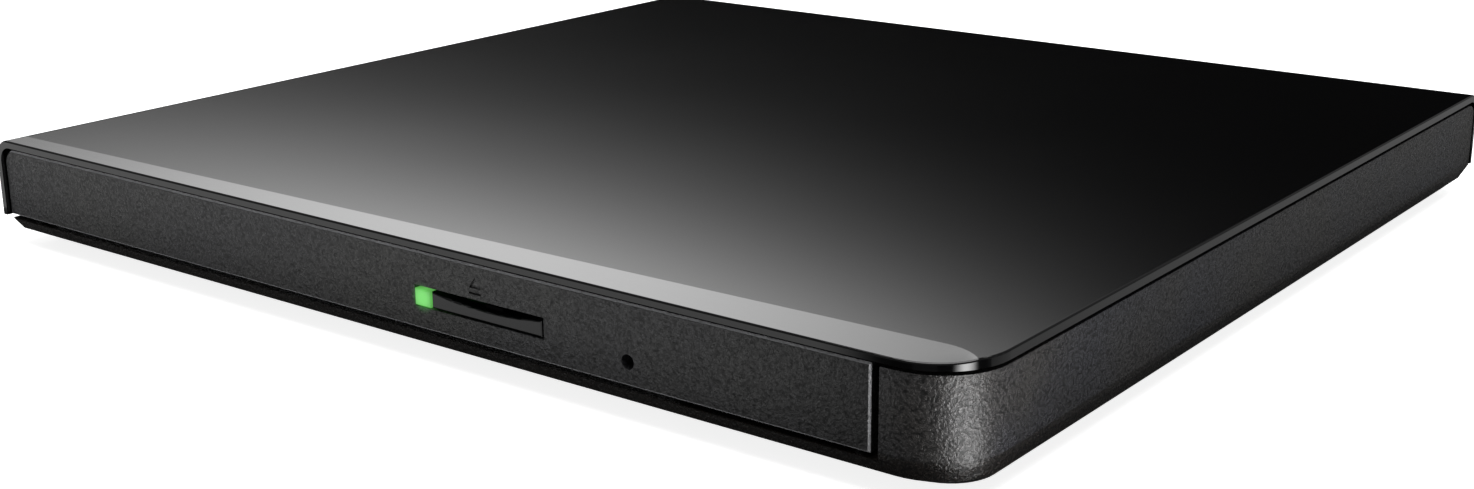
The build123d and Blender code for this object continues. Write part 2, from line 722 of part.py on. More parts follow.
with BuildPart() as ejector_plunger:
    reach = pan_rear - sheet - 0.1 - (tray_rear - 20)
    with Locations(Plane(origin=(plunger_x, tray_rear - 20, plunger_z), z_dir=(0, 1, 0))):
        Cylinder(1.0, reach, align=(Align.CENTER, Align.CENTER, Align.MIN))
    with Locations(Plane(origin=(plunger_x, tray_rear - 12.5, plunger_z), z_dir=(0, 1, 0))):
        Cylinder(1.2, 1.0, align=(Align.CENTER, Align.CENTER, Align.MIN))

# ================================================================ spindle
with BuildPart() as motor_base:
    post(hub_x, hub_y, (frame_low + frame_thick, frame_low + frame_thick + 0.4), rotor_radius - 1)
    post(hub_x, hub_y, (frame_low + frame_thick, tray_floor_low), 2.6)
    post(hub_x, hub_y, (frame_low + frame_thick + 0.1, tray_floor_low), 1.0 + 0.03, mode=Mode.SUBTRACT)
with BuildPart() as stator:
    with BuildSketch(Plane.XY.offset(frame_low + frame_thick + 0.7)):
        with Locations((hub_x, hub_y)):
            Circle(4.4)
            with PolarLocations(0, 9):
                with Locations((6.6, 0)):
                    Rectangle(5.2, 1.1)
                with Locations((9.3, 0)):
                    Rectangle(0.8, 4.2)
            Circle(2.6 + fit_gap, mode=Mode.SUBTRACT)
    extrude(amount=1.1)
with BuildPart() as spindle_rotor:
    bell_low = frame_low + frame_thick + 0.8
    post(hub_x, hub_y, (bell_low, 8.25), rotor_radius)
    post(hub_x, hub_y, (bell_low, 7.7), rotor_radius - 0.7, mode=Mode.SUBTRACT)
    post(hub_x, hub_y, (frame_low + frame_thick + 0.2, 8.0), 1.0)
    post(hub_x, hub_y, (8.4, turntable_top), turntable_radius)
    post(hub_x, hub_y, (8.2, 8.45), rotor_radius)
    post(hub_x, hub_y, (turntable_top, hub_top), hub_radius)
    chamfer(spindle_rotor.faces().sort_by(Axis.Z)[-1].edges(), length=0.45)
    with Locations((hub_x, hub_y)):
        with PolarLocations(5.6, 3, start_angle=30):
            with Locations((0, 0, hub_top)):
                Box(5.0, claw_width + 0.2, 2 * (hub_top - disc_seat - 0.9), mode=Mode.SUBTRACT)
with BuildPart() as rotor_magnet:
    with BuildSketch(Plane.XY.offset(bell_low)):
        with Locations((hub_x, hub_y)):
            Circle(rotor_radius - 0.7)
            Circle(rotor_radius - 1.3, mode=Mode.SUBTRACT)
    extrude(amount=1.6)
with BuildPart() as turntable_pad:
    with BuildSketch(Plane.XY.offset(turntable_top)):
        with Locations((hub_x, hub_y)):
            Circle(turntable_radius - 0.3)
            Circle(turntable_radius - 4.0, mode=Mode.SUBTRACT)
    extrude(amount=disc_seat - turntable_top)


def claw(number):
    """One spring claw of the hub, sliding in its slot."""
    angle = 30 + 120 * number
    place = Plane(origin=(hub_x, hub_y, disc_seat + 1.0), x_dir=(cos(radians(angle)), sin(radians(angle)), 0))
    inner, nose = 4.0, hub_radius + claw_reach
    with BuildPart() as made:
        with BuildSketch(place):
            with BuildLine():
                Polyline(
                    (inner, -claw_width / 2),
                    (nose - 0.5, -claw_width / 2),
                    (nose, -claw_width / 2 + 0.6),
                    (nose, claw_width / 2 - 0.6),
                    (nose - 0.5, claw_width / 2),
                    (inner, claw_width / 2),
                    close=True,
                )
            make_face()
        extrude(amount=0.9)
    return made


claws = [claw(n) for n in range(3)]

# ================================================================ sled and its frame
window = ((lens_inner - 11.4, rod_end - 1.3), 17.3)
with BuildPart() as traverse_frame:
    with BuildSketch(deck.offset(frame_low)):
        with BuildLine():
            Polyline((-14, -18.8), (rod_end, -18.8), (rod_end, 18.8), (58.5, 24.2), (-14, 24.2), close=True)
        make_face()
        with Locations(((window[0][0] + window[0][1]) / 2, 0)):
            Rectangle(window[0][1] - window[0][0], 2 * window[1], mode=Mode.SUBTRACT)
        with Locations((26.7, screw_across)):
            Rectangle(60.6, 4.4, mode=Mode.SUBTRACT)
    extrude(amount=frame_thick)
    # damper ears, raised to the middle of each damper
    for along, across in damper_places:
        toward = 1 if across > 0 else -1
        edge_across = 24.2 if across > 0 else -18.8
        with BuildSketch(deck.offset(frame_low + 0.4)):
            with Locations((along, across)):
                Circle(3.6)
            with Locations((along, (across + edge_across) / 2 - toward * 0.7)):
                Rectangle(5.0, abs(across - edge_across) + 1.4)
            with Locations((along, across)):
                Circle(2.0, mode=Mode.SUBTRACT)
        extrude(amount=0.9)
    # rod saddles and the end bearing of the lead screw
    for across in (-rod_across, rod_across):
        for ends in ((rod_start - 0.6, rod_start + 2.4), (rod_end - 1.2, rod_end)):
            with BuildSketch(deck.offset(frame_low)):
                with Locations(((ends[0] + ends[1]) / 2, across)):
                    Rectangle(ends[1] - ends[0], 3.4)
            extrude(amount=sled_top - frame_low)
    with BuildSketch(deck.offset(frame_low)):
        with Locations((57.6, screw_across + 0.4)):
            Rectangle(1.4, 5.2)
    extrude(amount=2.6)
    for across in (-rod_across, rod_across):
        x, y = deck_point(rod_start, across)
        with Locations(Plane(origin=(x, y, rod_z), z_dir=deck.x_dir)):
            Cylinder(rod_radius, 80, align=(Align.CENTER, Align.CENTER, Align.MIN), mode=Mode.SUBTRACT)
    x, y = deck_point(50, screw_across)
    with Locations(Plane(origin=(x, y, rod_z), z_dir=deck.x_dir)):
        Cylinder(0.6 + 0.03, 12, align=(Align.CENTER, Align.CENTER, Align.MIN), mode=Mode.SUBTRACT)


def deck_rod(start, end, across, radius):
    """A round bar lying along the deck frame, between two distances from the hub."""
    x, y = deck_point(start, across)
    with Locations(Plane(origin=(x, y, rod_z), z_dir=deck.x_dir)):
        Cylinder(radius, end - start, align=(Align.CENTER, Align.CENTER, Align.MIN))


with BuildPart() as guide_rod_main:
    deck_rod(rod_start, rod_end, rod_across, rod_radius)
with BuildPart() as guide_rod_sub:
    deck_rod(rod_start, rod_end, -rod_across, rod_radius)

stepper_span = (-13.6, -4.2)
with BuildPart() as lead_screw:
    deck_rod(-3.4, 56.4, screw_across, screw_radius)
    deck_rod(56.4, 58.2, screw_across, 0.6)
    deck_rod(stepper_span[1] - 1.5, -3.4, screw_across, 0.6)
with BuildPart() as stepper_motor:
    with BuildSketch(deck.offset(frame_low + frame_thick)):
        with Locations(((stepper_span[0] + stepper_span[1]) / 2, screw_across)):
            RectangleRounded(stepper_span[1] - stepper_span[0], 6.4, 1.0)
    extrude(amount=1.9)
    x, y = deck_point(stepper_span[1] - 1.8, screw_across)
    with Locations(Plane(origin=(x, y, rod_z), z_dir=deck.x_dir)):
        Cylinder(0.6 + 0.03, 3, align=(Align.CENTER, Align.CENTER, Align.MIN), mode=Mode.SUBTRACT)

with BuildPart() as dampers:
    for along, across in damper_places:
        x, y = deck_point(along, across)
        post(x, y, (tray_low + 0.2, frame_low + 0.4), 3.0)
        post(x, y, (frame_low + 0.4, frame_low + 1.3), 2.0)
        post(x, y, (frame_low + 1.3, frame_low + 2.2), 3.0)
        post(x, y, (tray_low, tray_floor_low), damper_hole + fit_gap, mode=Mode.SUBTRACT)

# pickup: a body on the two rods, with a turret that rises through the deck plate
sled_back, sled_nose = lens_inner - 9.4, lens_inner + 5.4
turret = ((lens_inner - 6.5, lens_inner + 5.2), 6.5)
with BuildPart() as pickup_body:
    with BuildSketch(deck.offset(sled_low)):
        with BuildLine():
            Polyline(
                (sled_back, -9),
                (sled_nose - 3, -9),
                (sled_nose, -6),
                (sled_nose, 9),
                (sled_back + 3, 9),
                (sled_back, 6),
                close=True,
            )
        make_face()
        with Locations((lens_inner - 2, 13)):
            Rectangle(13, 8.4)
        with Locations((lens_inner - 2, -12.7)):
            Rectangle(5, 8.0)
    extrude(amount=sled_top - sled_low)
    with BuildSketch(deck.offset(sled_top - 0.1)):
        with Locations(((turret[0][0] + turret[0][1]) / 2, 0)):
            RectangleRounded(turret[0][1] - turret[0][0], 2 * turret[1], 1.2)
    extrude(amount=turret_top - sled_top + 0.1)
    with BuildSketch(deck.offset(sled_low + 1.2)):
        with Locations((lens_inner, 0)):
            RectangleRounded(9.4, 10.2, 0.4)
    extrude(amount=6, mode=Mode.SUBTRACT)
    for across in (-rod_across, rod_across):
        x, y = deck_point(lens_inner - 14, across)
        with Locations(Plane(origin=(x, y, rod_z), z_dir=deck.x_dir)):
            Cylinder(rod_radius + 0.03, 30, align=(Align.CENTER, Align.CENTER, Align.MIN), mode=Mode.SUBTRACT)
    # open fork on the second rod
    with BuildSketch(deck.offset(rod_z)):
        with Locations((lens_inner - 2, -rod_across - 1)):
            Rectangle(6, 2 + 2 * rod_radius + 0.06)
    extrude(amount=4, mode=Mode.SUBTRACT)
# follower that reaches over the lead screw
with BuildPart() as screw_follower:
    with BuildSketch(deck.offset(frame_low + frame_thick + 0.2)):
        with Locations((lens_inner - 3.2, 18.2)):
            Rectangle(5, 1.9)
    extrude(amount=sled_top - frame_low - frame_thick - 0.4)
with BuildPart() as actuator_magnets:
    for side in (-1, 1):
        with BuildSketch(deck.offset(sled_low + 1.2)):
            with Locations((lens_inner + side * 4.2, 0)):
                Rectangle(0.9, 7.0)
        extrude(amount=2.4)
with BuildPart() as lens_holder:
    with BuildSketch(deck.offset(sled_low + 2.2)):
        with Locations((lens_inner, 0)):
            RectangleRounded(6.4, 8.6, 0.6)
    extrude(amount=turret_top - 0.7 - sled_low - 2.2)
with BuildPart() as objective_lens:
    x, y = deck_point(lens_inner, 0)
    with Locations((x, y, turret_top - 0.7)):
        Cylinder(2.1, 0.25, align=(Align.CENTER, Align.CENTER, Align.MIN))
        Cone(1.9, 1.2, 0.4, align=(Align.CENTER, Align.CENTER, Align.MIN))

with BuildPart() as deck_plate:
    with BuildSketch(deck.offset(deck_plate_z)):
        with BuildLine():
            Polyline((-20, -20), (64, -20), (64, 20), (-20, 20), close=True)
        make_face()
        Circle(60.0, mode=Mode.INTERSECT)
        Circle(rotor_radius + 1.2, mode=Mode.SUBTRACT)
        with Locations(((lens_inner + rod_end) / 2 - 4, 0)):
            Rectangle(rod_end - lens_inner + 8, 2 * turret[1] + 1.6, mode=Mode.SUBTRACT)
    extrude(amount=deck_plate_thick)

# ================================================================ electronics
with BuildPart() as main_board:
    with BuildSketch(Plane.XY.offset(main_board_z)):
        with BuildLine():
            Polyline(
                from_hub(16.475, 34.45),
                from_hub(34.475, 6.45),
                from_hub(34.475, -29.55),
                from_hub(58.475, -29.55),
                (hub_x + 58.475, notch_y - 2.5),
                (notch_x - 11, notch_y - 2.5),
                (notch_x - 11, tray_rear - 2.5),
                (hub_x - 25.525, tray_rear - 2.5),
                from_hub(-25.525, 44.45),
                close=True,
            )
        make_face()
    extrude(amount=board_sheet)
    for x, y in board_screw_places:
        post(x, y, (main_board_z, main_board_z + board_sheet), 0.7 + fit_gap, mode=Mode.SUBTRACT)
flex_join_y = hub_y + 32.45
chip_places = [
    (from_hub(38.775, -9.55), (7.6, 12)),
    (from_hub(18.475, 48.45), (10, 10)),
    (from_hub(38.975, 24.45), (7, 9)),
    (from_hub(-7.525, 52.45), (6, 6)),
    ((hub_x + 53.975, flex_join_y + 2), (8.6, 4)),
]
with BuildPart() as board_chips:
    for (x, y), (sx, sy) in chip_places:
        block((x - sx / 2, x + sx / 2), (y - sy / 2, y + sy / 2), (main_board_z - 1.0, main_board_z))

flex_x = (hub_x + 49.475, hub_x + 58.475)
flex_thick = 0.15
flex_fold = flex_join_y - tray_travel / 2 - 2.0
flex_radius = 1.3
flex_low = pan_top + 0.05 + flex_thick / 2
with BuildPart() as tray_flex:
    with BuildSketch(Plane.YZ.offset(flex_x[0])):
        with BuildLine():
            lower = Line((notch_y + 2.0, flex_low), (flex_fold, flex_low))
            turn = CenterArc((flex_fold, flex_low + flex_radius), flex_radius, -90, -180)
            upper = Line(turn @ 1, (flex_join_y, flex_low + 2 * flex_radius))
        trace(line_width=flex_thick)
    extrude(amount=flex_x[1] - flex_x[0])

with BuildPart() as connector_board:
    block((notch_x + 0.6, drive_x + tray_half), (notch_y + 1.2, pan_rear - 1.0), (board_z, board_z + 0.8))
with BuildPart() as sata_plug:
    body_x, nose_x = (sata_x[0] + 0.3, sata_x[1] - 0.3), (sata_x[0] + 2.0, sata_x[1] - 2.0)
    block(body_x, (pan_rear - 5.0, pan_rear + 0.4), (board_z + 0.8, board_z + 3.6))
    block(nose_x, (pan_rear + 0.4, pan_rear + 2.2), (board_z + 1.6, board_z + 2.6))
with BuildPart() as sata_receptacle:
    slot_x = (nose_x[0] - 0.1, nose_x[1] + 0.1)
    block(body_x, (pan_rear + 0.5, pan_rear + 4.6), (board_z + board_thick, board_z + 4.2))
    block(slot_x, (pan_rear + 0.4, pan_rear + 2.4), (board_z + 1.5, board_z + 2.7), mode=Mode.SUBTRACT)

board_inner = rear - side_wall - 1.4
with BuildPart() as bridge_board:
    with BuildSketch(Plane.XY.offset(board_z)):
        with BuildLine():
            Polyline(
                (pan_right + 0.9, pan_rear - 37.8),
                (right - 1.8, pan_rear - 37.8),
                (right - 1.8, board_inner),
                (sata_x[0] - 6.0, board_inner),
                (sata_x[0] - 6.0, pan_rear + 0.5),
                (pan_right + 0.9, pan_rear + 0.5),
                close=True,
            )
        make_face()
    extrude(amount=board_thick)
with BuildPart() as bridge_chips:
    bridge_x = (pan_right + right) / 2
    block((bridge_x - 3.5, bridge_x + 3.5), (pan_rear - 23.8, pan_rear - 16.8), (usb_low, usb_low + 0.9))
    block((bridge_x - 1.6, bridge_x + 1.6), (pan_rear - 32.8, pan_rear - 27.8), (usb_low, usb_low + 1.2))

usb_back = rear - side_wall + 0.4 - usb_depth
with BuildPart() as usb_socket:
    with BuildSketch(Plane.XZ.offset(-(usb_back + usb_depth))) as mouth:
        with Locations((usb_x, usb_low + usb_height / 2)):
            Polygon(
                (-usb_width / 2, usb_height / 2),
                (-usb_width / 2, -0.4),
                (-usb_width / 2 + 1.0, -usb_height / 2),
                (usb_width / 2 - 1.0, -usb_height / 2),
                (usb_width / 2, -0.4),
                (usb_width / 2, usb_height / 2),
                align=None,
            )
    extrude(amount=usb_depth)
    with BuildSketch(Plane.XZ.offset(-(usb_back + usb_depth))):
        add(mouth.sketch)
        offset(amount=-0.4, kind=Kind.INTERSECTION, mode=Mode.REPLACE)
    extrude(amount=usb_depth - 0.8, mode=Mode.SUBTRACT)
with BuildPart() as usb_tongue:
    block(
        (usb_x - 2.4, usb_x + 2.4),
        (usb_back + 0.8, usb_back + usb_depth - 1.6),
        (usb_low + usb_height / 2 - 0.3, usb_low + usb_height / 2 + 0.5),
    )

# ================================================================ write the pieces
pieces = {
    "top_cover": top_cover,
    "bottom_case": bottom_case,
    "rubber_feet": rubber_feet,
    "rating_label": rating_label,
    "case_screws": case_screws,
    "drive_screws": drive_screws,
    "chassis_pan": chassis_pan,
    "chassis_lid": chassis_lid,
    "lid_screws": lid_screws,
    "foam_pads": foam_pads,
    "latch_post": latch_post,
    "guide_left": guide_left,
    "guide_right": guide_right,
    "rail_left": rail_left,
    "rail_right": rail_right,
    "tray": tray,
    "tray_base_plate": tray_base_plate,
    "tray_screws": tray_screws,
    "tray_bezel": tray_bezel,
    "led_lens": led_lens,
    "eject_button": eject_button,
    "front_board": front_board,
    "eject_switch": eject_switch,
    "status_led": status_led,
    "latch_pivot": latch_pivot,
    "latch_hook": latch_hook,
    "latch_solenoid": latch_solenoid,
    "solenoid_core": solenoid_core,
    "emergency_slider": emergency_slider,
    "ejector_plunger": ejector_plunger,
    "motor_base": motor_base,
    "stator": stator,
    "spindle_rotor": spindle_rotor,
    "rotor_magnet": rotor_magnet,
    "turntable_pad": turntable_pad,
    "hub_claw_1": claws[0],
    "hub_claw_2": claws[1],
    "hub_claw_3": claws[2],
    "traverse_frame": traverse_frame,
    "guide_rod_main": guide_rod_main,
    "guide_rod_sub": guide_rod_sub,
    "lead_screw": lead_screw,
    "stepper_motor": stepper_motor,
    "dampers": dampers,
    "pickup_body": pickup_body,
    "screw_follower": screw_follower,
    "actuator_magnets": actuator_magnets,
    "lens_holder": lens_holder,
    "objective_lens": objective_lens,
    "deck_plate": deck_plate,
    "main_board": main_board,
    "board_chips": board_chips,
    "tray_flex": tray_flex,
    "connector_board": connector_board,
    "sata_plug": sata_plug,
    "sata_receptacle": sata_receptacle,
    "bridge_board": bridge_board,
    "bridge_chips": bridge_chips,
    "usb_socket": usb_socket,
    "usb_tongue": usb_tongue,
}
os.makedirs("parts", exist_ok=True)
for name, piece in pieces.items():
    piece.part.label = name
    export_step(piece.part, f"parts/{name}.step")
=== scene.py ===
"""Looks of a slim external optical disc drive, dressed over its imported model.

Every size is in metres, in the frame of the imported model: +Z up, -Y the front with the tray.
"""

import json
import logging
import math
from dataclasses import dataclass, field
from enum import Enum

import bmesh
import bpy
from mathutils import Matrix, Vector


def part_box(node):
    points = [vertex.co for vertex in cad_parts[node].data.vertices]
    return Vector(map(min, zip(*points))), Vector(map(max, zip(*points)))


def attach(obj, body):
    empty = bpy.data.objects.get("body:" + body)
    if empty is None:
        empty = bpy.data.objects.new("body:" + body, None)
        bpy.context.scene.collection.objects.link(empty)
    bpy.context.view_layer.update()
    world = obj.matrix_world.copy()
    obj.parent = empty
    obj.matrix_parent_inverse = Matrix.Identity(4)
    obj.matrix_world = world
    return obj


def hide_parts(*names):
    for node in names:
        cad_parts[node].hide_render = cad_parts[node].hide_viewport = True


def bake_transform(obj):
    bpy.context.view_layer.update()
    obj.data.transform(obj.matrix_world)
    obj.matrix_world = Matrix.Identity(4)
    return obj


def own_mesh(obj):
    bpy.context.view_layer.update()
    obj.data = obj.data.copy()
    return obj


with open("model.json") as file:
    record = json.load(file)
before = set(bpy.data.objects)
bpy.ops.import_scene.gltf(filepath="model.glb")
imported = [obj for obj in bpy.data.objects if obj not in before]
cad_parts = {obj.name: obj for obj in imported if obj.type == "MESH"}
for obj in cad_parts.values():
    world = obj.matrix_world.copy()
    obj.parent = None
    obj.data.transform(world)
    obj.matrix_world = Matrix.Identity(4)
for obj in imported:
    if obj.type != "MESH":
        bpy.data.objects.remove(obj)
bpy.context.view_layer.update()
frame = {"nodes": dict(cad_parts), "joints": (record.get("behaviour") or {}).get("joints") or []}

log = logging.getLogger("disc_drive")

Colour = tuple[float, float, float]
Triple = tuple[float, float, float]


# ---------------------------------------------------------------- shader maths
class Wire:
    """One value in a shader tree that takes part in ordinary arithmetic."""

    def __init__(self, bench: "Bench", socket: bpy.types.NodeSocket) -> None:
        """Hold a socket and the bench whose tree it is in."""
        self.bench = bench
        self.socket = socket

    def __add__(self, other: "Wire | float") -> "Wire":
        """Sum."""
        return self.bench.maths("ADD", self, other)

    def __radd__(self, other: float) -> "Wire":
        """Sum, with a number first."""
        return self.bench.maths("ADD", other, self)

    def __sub__(self, other: "Wire | float") -> "Wire":
        """Difference."""
        return self.bench.maths("SUBTRACT", self, other)

    def __rsub__(self, other: float) -> "Wire":
        """Difference, with a number first."""
        return self.bench.maths("SUBTRACT", other, self)

    def __mul__(self, other: "Wire | float") -> "Wire":
        """Product."""
        return self.bench.maths("MULTIPLY", self, other)

    def __rmul__(self, other: float) -> "Wire":
        """Product, with a number first."""
        return self.bench.maths("MULTIPLY", other, self)

    def __truediv__(self, other: "Wire | float") -> "Wire":
        """Quotient."""
        return self.bench.maths("DIVIDE", self, other)

    def __rtruediv__(self, other: float) -> "Wire":
        """Quotient, with a number first."""
        return self.bench.maths("DIVIDE", other, self)

    def __pow__(self, other: "Wire | float") -> "Wire":
        """Power."""
        return self.bench.maths("POWER", self, other)

    def __neg__(self) -> "Wire":
        """The value with its sign turned."""
        return self.bench.maths("MULTIPLY", self, -1.0)

    def below(self, other: "Wire | float") -> "Wire":
        """The smaller of two values."""
        return self.bench.maths("MINIMUM", self, other)

    def above(self, other: "Wire | float") -> "Wire":
        """The larger of two values."""
        return self.bench.maths("MAXIMUM", self, other)

    def size(self) -> "Wire":
        """The value without its sign."""
        return self.bench.maths("ABSOLUTE", self)

    def step(self, start: float, end: float) -> "Wire":
        """A smooth step.

        Args:
            start: Value at which the step is 0.
            end: Value at which the step is 1; it may be the smaller of the two.

        Returns:
            A value from 0 to 1.
        """
        node = self.bench.node(
            "ShaderNodeMapRange",
            {"interpolation_type": "SMOOTHSTEP"},
            {0: self, 1: start, 2: end, 3: 0.0, 4: 1.0},
        )
        return Wire(self.bench, node.outputs[0])


class Bench:
    """The node tree of one material or of the world, with short ways to add nodes."""

    def __init__(self, tree: bpy.types.NodeTree) -> None:
        """Start from an empty tree."""
        self.tree = tree
        tree.nodes.clear()

    def node(self, kind: str, settings: dict | None = None, sockets: dict | None = None) -> bpy.types.Node:
        """Add a node.

        Args:
            kind: The node's type.
            settings: Its own settings, made first; "stops" holds a ramp's positions and colours.
            sockets: Values or links of its inputs, by name or number.

        Returns:
            The node.
        """
        made = self.tree.nodes.new(kind)
        for key, value in (settings or {}).items():
            if key == "stops":
                ramp = made.color_ramp
                while len(ramp.elements) < len(value):
                    ramp.elements.new(0.5)
                for element, (position, colour) in zip(ramp.elements, value):
                    element.position = position
                    element.color = (*colour, 1.0)
            else:
                setattr(made, key, value)
        for key, value in (sockets or {}).items():
            target = made.inputs[key]
            if isinstance(value, Wire):
                self.tree.links.new(value.socket, target)
            elif isinstance(value, bpy.types.NodeSocket):
                self.tree.links.new(value, target)
            elif target.type == "RGBA" and len(value) == 3:
                target.default_value = (*value, 1.0)
            else:
                target.default_value = value
        return made

    def maths(self, operation: str, *terms: "Wire | float") -> Wire:
        """One Math node.

        Args:
            operation: What it works out.
            terms: Its values, in order.

        Returns:
            The result.
        """
        node = self.node("ShaderNodeMath", {"operation": operation}, dict(enumerate(terms)))
        return Wire(self, node.outputs[0])

    def place(
        self, stretch: Triple = (1.0, 1.0, 1.0), turn: float = 0.0, shift: Triple = (0.0, 0.0, 0.0)
    ) -> bpy.types.NodeSocket:
        """Object coordinates, moved, turned about Z and stretched.

        Args:
            stretch: Factor on each axis, after the turn.
            turn: Angle about Z, in radians.
            shift: What is taken away from each coordinate first.

        Returns:
            A vector socket.
        """
        found = self.node("ShaderNodeTexCoord").outputs["Object"]
        moved = self.node(
            "ShaderNodeVectorMath", {"operation": "SUBTRACT"}, {0: found, 1: shift}
        ).outputs[0]
        turned = self.node(
            "ShaderNodeMapping", {}, {"Vector": moved, "Rotation": (0.0, 0.0, -turn)}
        ).outputs[0]
        return self.node(
            "ShaderNodeVectorMath", {"operation": "MULTIPLY"}, {0: turned, 1: stretch}
        ).outputs[0]

    def axes(self, vector: bpy.types.NodeSocket) -> tuple[Wire, Wire, Wire]:
        """The three numbers of a vector socket."""
        split = self.node("ShaderNodeSeparateXYZ", {}, {0: vector})
        return tuple(Wire(self, out) for out in split.outputs[:3])

    def noise(
        self, vector: bpy.types.NodeSocket, grain: float, detail: float = 2.0, rough: float = 0.5
    ) -> Wire:
        """Soft noise.

        Args:
            vector: Where it is read.
            grain: Size of a blotch.
            detail: Layers of finer noise.
            rough: Weight of the finer layers.

        Returns:
            A value round 0.5.
        """
        made = self.node(
            "ShaderNodeTexNoise",
            {"noise_dimensions": "3D"},
            {"Vector": vector, "Scale": 1.0 / grain, "Detail": detail, "Roughness": rough},
        )
        return Wire(self, made.outputs[0])

    def cells(
        self, vector: bpy.types.NodeSocket, grain: float, feature: str = "SMOOTH_F1", spread: float = 1.0
    ) -> Wire:
        """Rounded cells.

        Args:
            vector: Where they are read.
            grain: Distance between cells.
            feature: Which distance is given.
            spread: How irregular they are.

        Returns:
            The distance, in cells.
        """
        made = self.node(
            "ShaderNodeTexVoronoi",
            {"feature": feature},
            {"Vector": vector, "Scale": 1.0 / grain, "Randomness": spread},
        )
        return Wire(self, made.outputs["Distance"])

    def tint(
        self,
        factor: "Wire | float",
        low: "Colour | bpy.types.NodeSocket",
        high: "Colour | bpy.types.NodeSocket",
    ) -> bpy.types.NodeSocket:
        """A colour between two, by a factor."""
        node = self.node("ShaderNodeMix", {"data_type": "RGBA"}, {0: factor, 6: low, 7: high})
        return node.outputs[2]

    def relief(self, height: Wire, depth: float, strength: float = 1.0) -> bpy.types.NodeSocket:
        """A bumped normal.

        Args:
            height: Value from 0 to 1.
            depth: What 1 stands for, in metres.
            strength: How much of it shows.

        Returns:
            A normal socket.
        """
        made = self.node("ShaderNodeBump", {}, {"Height": height, "Distance": depth, "Strength": strength})
        return made.outputs[0]


# ---------------------------------------------------------------- finishes
@dataclass(frozen=True)
class Finish:
    """What every finish has: its name, colour and gloss."""

    name: str
    colour: Colour
    roughness: float = 0.5
    metallic: float = 0.0
    ior: float = 1.46

    def material(self) -> bpy.types.Material:
        """The finish as a material, made the first time it is asked for.

        Returns:
            The material.
        """
        known = bpy.data.materials.get(self.name)
        if known is not None:
            return known
        made = bpy.data.materials.new(self.name)
        made.use_nodes = True
        bench = Bench(made.node_tree)
        shader = bench.node(
            "ShaderNodeBsdfPrincipled",
            {},
            {
                "Base Color": self.colour,
                "Roughness": self.roughness,
                "Metallic": self.metallic,
                "IOR": self.ior,
            },
        )
        bench.node("ShaderNodeOutputMaterial", {}, {"Surface": shader.outputs[0]})
        made.diffuse_color = (*self.colour, 1.0)
        for name, value in self.work(bench).items():
            if isinstance(value, (Wire, bpy.types.NodeSocket)):
                source = value.socket if isinstance(value, Wire) else value
                bench.tree.links.new(source, shader.inputs[name])
            elif name == "Emission Color":
                shader.inputs[name].default_value = (*value, 1.0)
            else:
                shader.inputs[name].default_value = value
        return made

    def work(self, bench: Bench) -> dict:
        """What varies over the surface, by the shader's input."""
        return {}

    def shade(self, factor: float) -> Colour:
        """The colour, darker or lighter."""
        return tuple(min(1.0, c * factor) for c in self.colour)


@dataclass(frozen=True)
class SatinPlate(Finish):
    """Thick smooth plastic top with an even, silky gloss."""

    silk: float = 0.05

    def work(self, bench: Bench) -> dict:
        """Slow drift in the gloss under a very fine silk.

        Args:
            bench: The material's node tree.

        Returns:
            What varies, by the shader's input.
        """
        slow = bench.noise(bench.place(), 0.045, 2.0)
        fine = bench.noise(bench.place(), 0.00035, 1.0)
        return {
            "Base Color": bench.tint(fine, self.shade(0.8), self.shade(1.2)),
            "Roughness": self.roughness + (slow - 0.5) * self.silk + (fine - 0.5) * self.silk,
            "Normal": bench.relief(fine, 0.0000006),
        }


@dataclass(frozen=True)
class PebbledPlastic(Finish):
    """Moulded plastic with an eroded, pebbled grain, and painted shadow below a set height."""

    grain: float = 0.00055
    depth: float = 0.00003
    warm: Colour = (0.03, 0.026, 0.022)
    shadow: Colour = (0.005, 0.0042, 0.0038)
    level: float = -1.0
    pit: float = 0.85
    crest_highlight: float = 3.2

    def work(self, bench: Bench) -> dict:
        """Pebbles of mixed size, with a painted highlight on their crowns and painted shade in their pits,
        over a slow change of tone.

        Args:
            bench: The material's node tree.

        Returns:
            What varies, by the shader's input.
        """
        at = bench.place()
        warp = bench.node(
            "ShaderNodeTexNoise", {}, {"Vector": at, "Scale": 0.9 / self.grain, "Detail": 1.0}
        ).outputs[1]
        bent = bench.node(
            "ShaderNodeVectorMath",
            {"operation": "MULTIPLY_ADD"},
            {0: warp, 1: (self.grain * 1.4,) * 3, 2: at},
        ).outputs[0]
        pebble = 1.0 - bench.cells(bent, self.grain)
        small = bench.noise(at, self.grain * 0.4, 2.0, 0.6)
        height = pebble * 0.6 + small * 0.4
        crown = height.step(0.34, 0.66)
        slow = bench.noise(at, 0.02, 2.0)
        _, _, z = bench.axes(at)
        tone = bench.tint(slow.step(0.3, 0.7), self.colour, self.warm)
        # painted shadow: below the level height the tone turns to the shadow colour
        tone = bench.tint(z.step(self.level + 0.0003, self.level), tone, self.shadow)
        # painted shade and painted highlight: the pits are darkened to a small share of the tone, and the
        # crowns are brightened by the crest factor
        pit = bench.tint(self.pit, tone, (0.0, 0.0, 0.0))
        crest_highlight = bench.node(
            "ShaderNodeMix",
            {"data_type": "RGBA", "blend_type": "MULTIPLY"},
            {0: 1.0, 6: tone, 7: (self.crest_highlight,) * 3},
        )
        return {
            "Base Color": bench.tint(crown, pit, crest_highlight.outputs[2]),
            "Roughness": self.roughness + 0.14 - crown * 0.22,
            "Normal": bench.relief(height, self.depth),
        }


